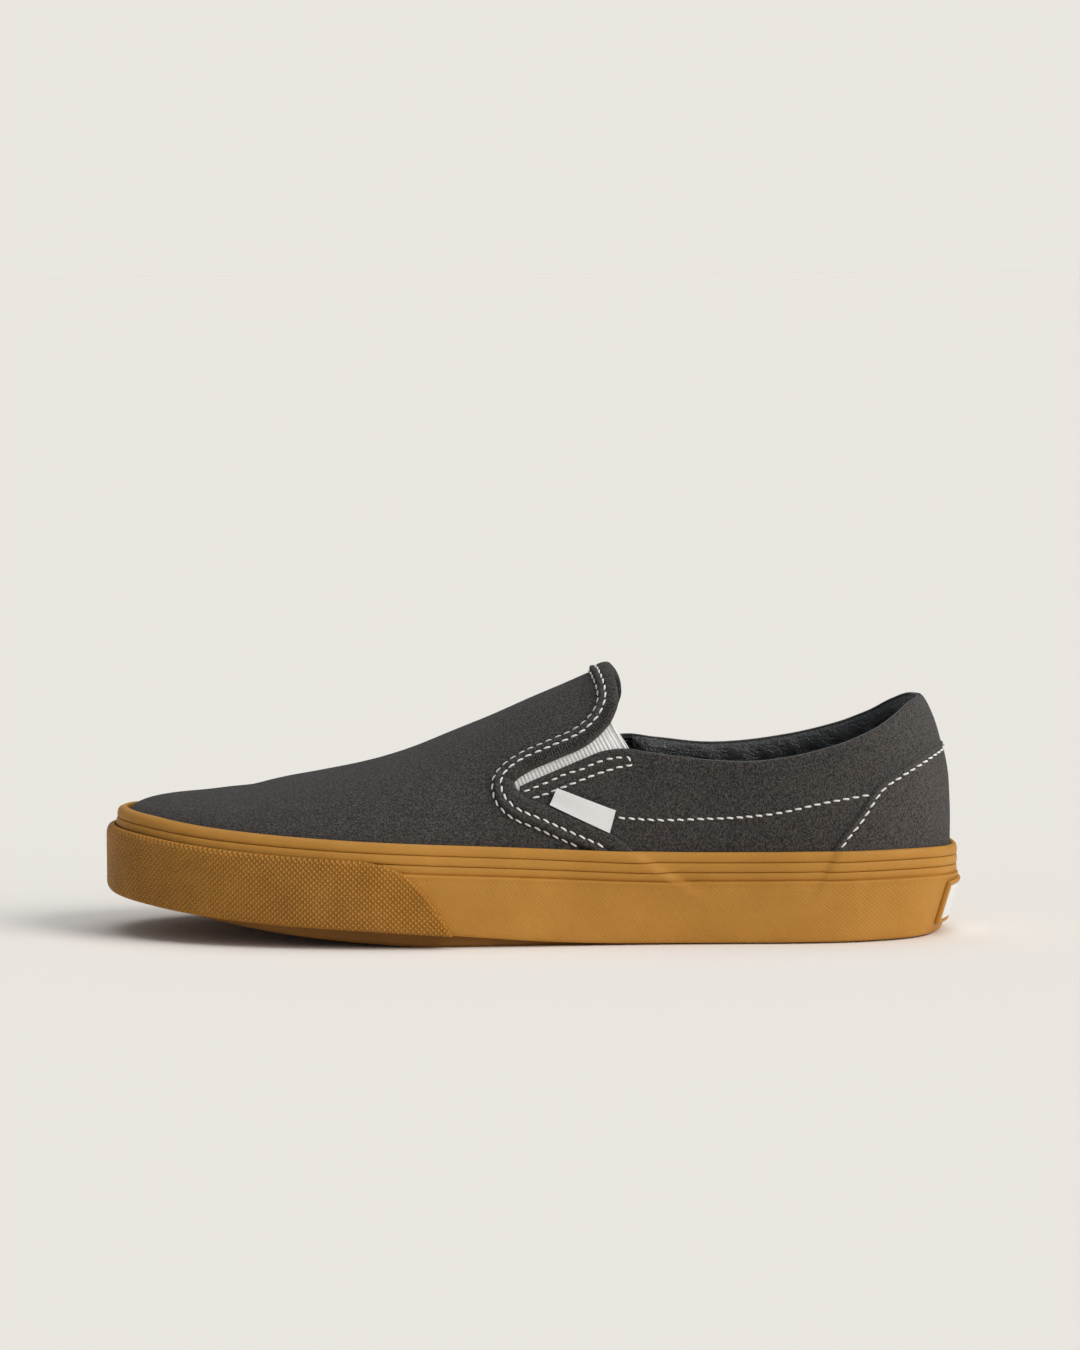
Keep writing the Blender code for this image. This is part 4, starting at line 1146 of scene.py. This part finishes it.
# Edges of cloth that run on under the foxing and push it out: two points of the line as x and z,
# reach of the slope, height, and the side of the line that is raised (-1 front, 1 rear). Metres.
FOXING_FOLDS = (
    ((0.0358, 0.0305), (0.0496, 0.0215), 0.0036, 0.00140, -1),
    ((0.1030, 0.0310), (0.0975, 0.0200), 0.0030, 0.00080, 1),
)


def fold_over(x, z):
    """How far the cloth's edges underneath push the foxing out at a place on its side."""
    total = np.zeros(np.shape(x))
    for (x0, z0), (x1, z1), reach, height, raised in FOXING_FOLDS:
        slope = (x1 - x0) / (z1 - z0)
        lean = math.hypot(slope, 1)
        away = (x - x0 - (z - z0) * slope) / lean * raised
        step = smooth(away / reach + 0.5) * np.exp(-np.clip(away, 0, None) / 0.016)
        total += height * step * smooth((z - 0.012) / 0.012)
    return total


def build_foxing(look):
    """Band round the sole with a grained main face, a step and two ribs."""
    a = np.arange(1100) * 2 / 1100
    base = lower_edge(edge(a)[0])
    top = foxing_top(a)
    face = foxing_face(a) + 0.00010 * np.sin(37 * a + 1) + 0.00005 * np.sin(91 * a)
    x = edge(a)[0]
    rows = []
    flat = []
    for offset, height in FOXING_LOW:
        rows.append(wrap(a, base + height, face + offset))
        flat.append(height)
    for t in np.linspace(0, 1, 14)[1:-1]:
        z = base + 0.0012 + (top - 0.0112 - base - 0.0012) * t
        rows.append(wrap(a, z, face + fold_over(x, z)))
        flat.append(0.0012 + 0.0194 * t)
    for offset, drop in FOXING_HIGH:
        push = fold_over(x, top - drop)
        rows.append(wrap(a, top - drop - 0.3 * push * smooth(drop / 0.003), face + offset + push))
        flat.append(0.0315 - drop)
    for share in (0.80, 0.60, 0.35):
        rows.append(wrap(a, section(a, rise_of(a, top) * share)[:, 2], GAP))
        flat.append(0.04)
    rows.append(wrap(a, feather(x), GAP))
    flat.append(0.04)
    points = np.stack(rows, 1)
    middle = points[:, 10]
    run = np.linalg.norm(np.diff(middle, axis=0), axis=1)
    u = np.concatenate([[0], np.cumsum(run)])
    uv = np.stack(np.broadcast_arrays(u[:, None], np.array(flat)[None, :]), -1)
    made = grid_object("foxing_band", points, look, closed=True, around=True, sharp=60, uv=uv)
    belongs(made, "gum_rubber", "foxing")


def closed_sheet(name, front, back, look, uv=None, sharp=50):
    """Closed body between two grids of points."""
    rows, columns = front.shape[:2]
    size = rows * columns
    index = np.arange(size).reshape(rows, columns)
    border = np.concatenate([index[:, 0], index[-1, 1:], index[-2::-1, -1], index[0, -2:0:-1]])
    after = np.roll(border, -1)
    quads = grid_faces(rows, columns)
    sides = np.stack([after, border, border + size, after + size], -1)
    faces = np.vstack([quads, quads[:, ::-1] + size, sides])
    flat = (lengths(front) if uv is None else uv).reshape(-1, 2)
    verts = np.vstack([front.reshape(-1, 3), back.reshape(-1, 3)])
    return add_mesh(name, verts, faces, look, np.vstack([flat, flat]), sharp)


def rounding(distance, radius, depth):
    """How far a rounded edge falls away at a distance from the rim."""
    share = np.clip(1 - distance / radius, 0, 1)
    return depth * (1 - np.sqrt(1 - share**2))


def build_bumper(look):
    """Cap over the foxing at the toe, with a rounded top and foot."""
    edge_x = TOE_X + LAST_LENGTH * np.array([row[0] for row in BUMPER_EDGE])
    edge_h = np.array([row[1] for row in BUMPER_EDGE])
    table = np.linspace(-0.5, 0.5, 1001)
    path = wrap(table, ground(edge(table)[0]) + 0.012, float(foxing_face(0.0)))
    run = np.concatenate([[0], np.cumsum(np.linalg.norm(np.diff(path, axis=0), axis=1))])
    shares = 0.5 - 0.5 * np.cos(np.linspace(0, math.pi, 44))
    columns = np.linspace(-1, 1, 420)
    columns = np.sign(columns) * (1 - (1 - np.abs(columns)) ** 1.15)
    inner = 0.0001
    outer = GAP + 0.0024
    front, back, uv = [], [], []
    for share in shares:
        end_x = float(np.interp(min(share, 0.9999), edge_h, edge_x))
        reach = math.acos((LAST_CENTRE_X - end_x) / (LAST_LENGTH / 2)) / math.pi
        a = reach * columns
        x = edge(a)[0]
        base = lower_edge(x)
        tall = foxing_top(a) - 0.006 - base
        z = base + tall * share
        nose = np.exp(-((a / 0.16) ** 2))
        fall = rounding(z - base, 0.0012 + 0.0022 * nose, 0.0006 + 0.0018 * nose)
        fall = fall + rounding(base + tall - z, 0.0014 + 0.0020 * nose, 0.0016)
        fall = fall + rounding((end_x - x) * 0.75, 0.0011, 0.0015)
        front.append(wrap(a, z, foxing_face(a) + outer - np.minimum(fall, 0.0024)))
        back.append(wrap(a, z, foxing_face(a) + inner))
        uv.append(np.stack([np.interp(a, table, run), z - base], -1))
    made = closed_sheet("toe_cap_rubber", np.stack(front, 1), np.stack(back, 1), look, np.stack(uv, 1), 60)
    belongs(made, "gum_rubber", "toe_bumper")


TAB_WIDTH = 0.030
TAB_HEIGHT = 0.0145
TAB_FLOOR = 0.0028


def heel_grid(across, up, offset):
    """Grid on the back of the foxing over the heel tab's area. offset may be a grid."""
    table = np.linspace(0.85, 1.15, 121)
    a = np.interp(np.asarray(across, float) * TAB_WIDTH, edge(table)[1], table)
    z = ground(0.0) + TAB_FLOOR + TAB_HEIGHT * np.asarray(up, float)
    grid_a, grid_z = np.meshgrid(a, z, indexing="ij")
    return wrap(grid_a, grid_z, offset)


def build_tab(look, pale):
    """Rubber plate with a raised rim, and the blank plate inside it."""
    face = float(foxing_face(1.0))
    u = np.linspace(-0.5, 0.5, 121)
    v = np.linspace(0, 1, 71)
    grid_u, grid_v = np.meshgrid(u, v, indexing="ij")
    rim = np.minimum((0.5 - np.abs(grid_u)) * TAB_WIDTH, np.minimum(grid_v, 1 - grid_v) * TAB_HEIGHT)
    pocket = smooth((rim - 0.0011) / 0.0003)
    lift = 0.0015 - rounding(rim, 0.0006, 0.0007) - 0.0006 * pocket
    made = closed_sheet("heel_plate", heel_grid(u, v, face + lift), heel_grid(u, v, face + 0.0001), look, sharp=60)
    belongs(made, "gum_rubber", "heel_tab")
    u = np.linspace(-0.455, 0.455, 101)
    v = np.linspace(0.10, 0.90, 51)
    grid_u, grid_v = np.meshgrid(u, v, indexing="ij")
    rim = np.minimum((0.455 - np.abs(grid_u)) * TAB_WIDTH, np.minimum(grid_v - 0.10, 0.90 - grid_v) * TAB_HEIGHT)
    lift = 0.0016 - rounding(rim, 0.0006, 0.0005)
    made = closed_sheet("heel_plate_face", heel_grid(u, v, face + lift), heel_grid(u, v, face + 0.0009), pale)
    belongs(made, "label_cloth", "heel_tab_insert")


def build_insole(look):
    """Soft sheet under the foot, curled up a little along its edge."""
    a = np.linspace(0.004, 0.996, 150)
    t = np.linspace(0, 1, 40)[None, :, None]
    curl = 0.0012 * np.abs(2 * t[..., 0] - 1) ** 6
    grids = []
    for height in (WALL + GAP + 0.004, WALL + GAP):
        z = feather(edge(a)[0]) + height
        near = wrap(a, z, -WALL - 3 * GAP)
        far = wrap(2 - a, z, -WALL - 3 * GAP)
        grid = near[:, None] * (1 - t) + far[:, None] * t
        grid[..., 2] = feather(grid[..., 0]) + height + (curl if height > 0.004 else 0)
        grids.append(grid)
    made = closed_sheet("soft_insole", grids[0], grids[1], look)
    belongs(made, "insole_cloth", "insole")


# Stage, light and camera

def build_stage():
    """Pale floor with a far wall of the same tone."""
    made = bpy.data.materials.new("pale_floor")
    made.use_nodes = True
    shader = made.node_tree.nodes["Principled BSDF"]
    shader.inputs["Base Color"].default_value = (0.928, 0.8726, 0.807, 1)
    shader.inputs["Roughness"].default_value = 0.95
    shader.inputs["Specular IOR Level"].default_value = 0.0
    turn = np.arange(96) * 2 * math.pi / 96
    reach = np.array([0.0, 0.3, 1.0, 3.0, 9.0])
    points = np.stack([np.outer(np.cos(turn), reach), np.outer(np.sin(turn), reach), np.zeros((96, 5))], -1)
    floor = grid_object("floor", points[:, 1:] - CENTRE_SHIFT, made, closed=True)
    middle = bpy.data.meshes.new("floor_middle")
    middle.from_pydata([tuple(p) for p in points[:, 1]], [], [tuple(range(96))])
    middle.materials.append(made)
    centre = bpy.data.objects.new("floor_middle", middle)
    bpy.context.scene.collection.objects.link(centre)
    glow = bpy.data.materials.new("pale_wall")
    glow.use_nodes = True
    shader = glow.node_tree.nodes["Principled BSDF"]
    shader.inputs["Base Color"].default_value = (0, 0, 0, 1)
    shader.inputs["Specular IOR Level"].default_value = 0.0
    shader.inputs["Emission Color"].default_value = (0.823, 0.791, 0.745, 1)
    shader.inputs["Emission Strength"].default_value = 1.0
    high = np.array([0.0, 1.4])
    ring = np.stack(np.broadcast_arrays(9 * np.cos(turn)[:, None], 9 * np.sin(turn)[:, None], high[None, :]), -1)
    wall = grid_object("wall", ring, glow, closed=True)
    wall.visible_diffuse = False
    wall.visible_glossy = False
    wall.visible_shadow = False


def add_sun(name, direction, strength, angle, colour=(1, 1, 1)):
    """Sun lamp that shines from a direction."""
    data = bpy.data.lights.new(name, "SUN")
    data.energy = strength
    data.angle = math.radians(angle)
    data.color = colour
    made = bpy.data.objects.new(name, data)
    made.rotation_euler = Vector(direction).to_track_quat("Z", "Y").to_euler()
    bpy.context.scene.collection.objects.link(made)


def build_light():
    world = bpy.data.worlds.new("soft_room")
    world.use_nodes = True
    back = world.node_tree.nodes["Background"]
    back.inputs[0].default_value = (0.89, 0.985, 1.08, 1)
    back.inputs[1].default_value = 0.26
    bpy.context.scene.world = world
    add_sun("key", (0.86, -0.44, 0.74), 1.7, 38, (1.0, 0.985, 0.96))
    add_sun("side", (0.90, -0.50, 0.12), 0.65, 34, (1.0, 0.985, 0.96))
    add_sun("top", (0.05, 0.15, 1.0), 0.94, 60)
    bpy.context.scene.view_settings.view_transform = "Standard"


# The camera as found from the photo: yaw, height angle and roll in degrees, distance in metres,
# and the place in the 1080 by 1350 picture where the middle of the sole stands
YAW, RISE_ANGLE, ROLL = 2.5, 5.0, 0.35
DISTANCE = 2.2
METRES_PER_PIXEL = 0.0003428
LANDING = (531.1, 929.2)


def build_camera():
    """Camera at the photo's angle to the shoe."""
    y, e, r = (math.radians(v) for v in (YAW, RISE_ANGLE, ROLL))
    back = Vector((math.sin(y) * math.cos(e), -math.cos(y) * math.cos(e), math.sin(e)))
    right = Vector((math.cos(y), math.sin(y), 0))
    up = back.cross(right)
    place = back * DISTANCE - right * (LANDING[0] - 540) * METRES_PER_PIXEL
    place = place - up * (675 - LANDING[1]) * METRES_PER_PIXEL
    turned_right = math.cos(r) * right - math.sin(r) * up
    turned_up = math.sin(r) * right + math.cos(r) * up
    data = bpy.data.cameras.new("camera")
    data.sensor_fit = "HORIZONTAL"
    data.sensor_width = 36
    data.lens = DISTANCE / METRES_PER_PIXEL * 36 / 1080
    data.clip_end = 60
    camera = bpy.data.objects.new("camera", data)
    rotation = Matrix((turned_right, turned_up, back)).transposed().to_4x4()
    camera.matrix_world = Matrix.Translation(place) @ rotation
    bpy.context.scene.collection.objects.link(camera)
    bpy.context.scene.camera = camera


def main():
    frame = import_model()
    canvas = canvas_look("dark_canvas", (0.026, 0.0225, 0.0205), (0.051, 0.0455, 0.0415), (0.093, 0.084, 0.077))
    # The heel panel's canvas is painted a little lighter than the rest of the canvas: a painted highlight where the
    # light falls on the heel.
    panel = canvas_look("heel_canvas", (0.029, 0.0255, 0.0235), (0.058, 0.0515, 0.047), (0.101, 0.0905, 0.082))
    gum = gum_look("gum_grain", (0.450, 0.204, 0.031), (0.488, 0.225, 0.036), (0.530, 0.250, 0.044), diagonal=0.25)
    bumpy = gum_look("gum_bumps", (0.36, 0.146, 0.015), (0.43, 0.180, 0.020), (0.53, 0.235, 0.034), diamonds=True)
    plain = gum_look("gum_plain", (0.450, 0.204, 0.031), (0.488, 0.225, 0.036), (0.530, 0.250, 0.044))
    elastic = plain_cloth_look("ribbed_elastic", (0.93, 0.90, 0.86), 0.05, 1500, 0.0001)
    inner = plain_cloth_look("inner_cloth", (0.040, 0.037, 0.035), 0.25, 1200, 0.0003)
    label = plain_cloth_look("pale_tape", (0.80, 0.79, 0.77), 0.03, 1800, 0.0001)
    thread = plain_cloth_look("thread", (0.84, 0.82, 0.78), 0.06, 3000, 0.0001)
    insert = plain_cloth_look("pale_rubber", (0.80, 0.79, 0.77), 0.02, 900, 0.00005)
    lining = leather_look("pebbled_lining", (0.026, 0.0255, 0.025))
    # Light grey for the lining's top edge: a painted highlight, the leather itself being dark.
    lit_lining_edge = plain_cloth_look("lining_edge_painted_grey", (0.12, 0.12, 0.117), 0.2, 1500, 0.0001)
    # Painted shade: the outsole's gum is painted about half as bright as the other gum, standing in for the shadow
    # under the foxing.
    tread = gum_look("gum_tread", (0.20, 0.088, 0.013), (0.23, 0.10, 0.016), (0.26, 0.118, 0.020))
    frame["nodes"]["outsole"].material_slots[0].material = tread
    build_foxing(gum)
    build_bumper(bumpy)
    build_tab(plain, insert)
    build_upper(canvas, inner)
    rows = build_band(canvas)
    build_collar(canvas, lit_lining_edge)
    for side in (-1, 1):
        build_gore(side, elastic)
    rows += build_counter(panel)
    rows += quarter_rows()
    build_lining(lining)
    build_label(label)
    build_insole(inner)
    threads = stitch_rows("seam_threads", rows, thread)
    belongs(threads, "label_cloth")
    build_stage()
    build_light()
    build_camera()


main()
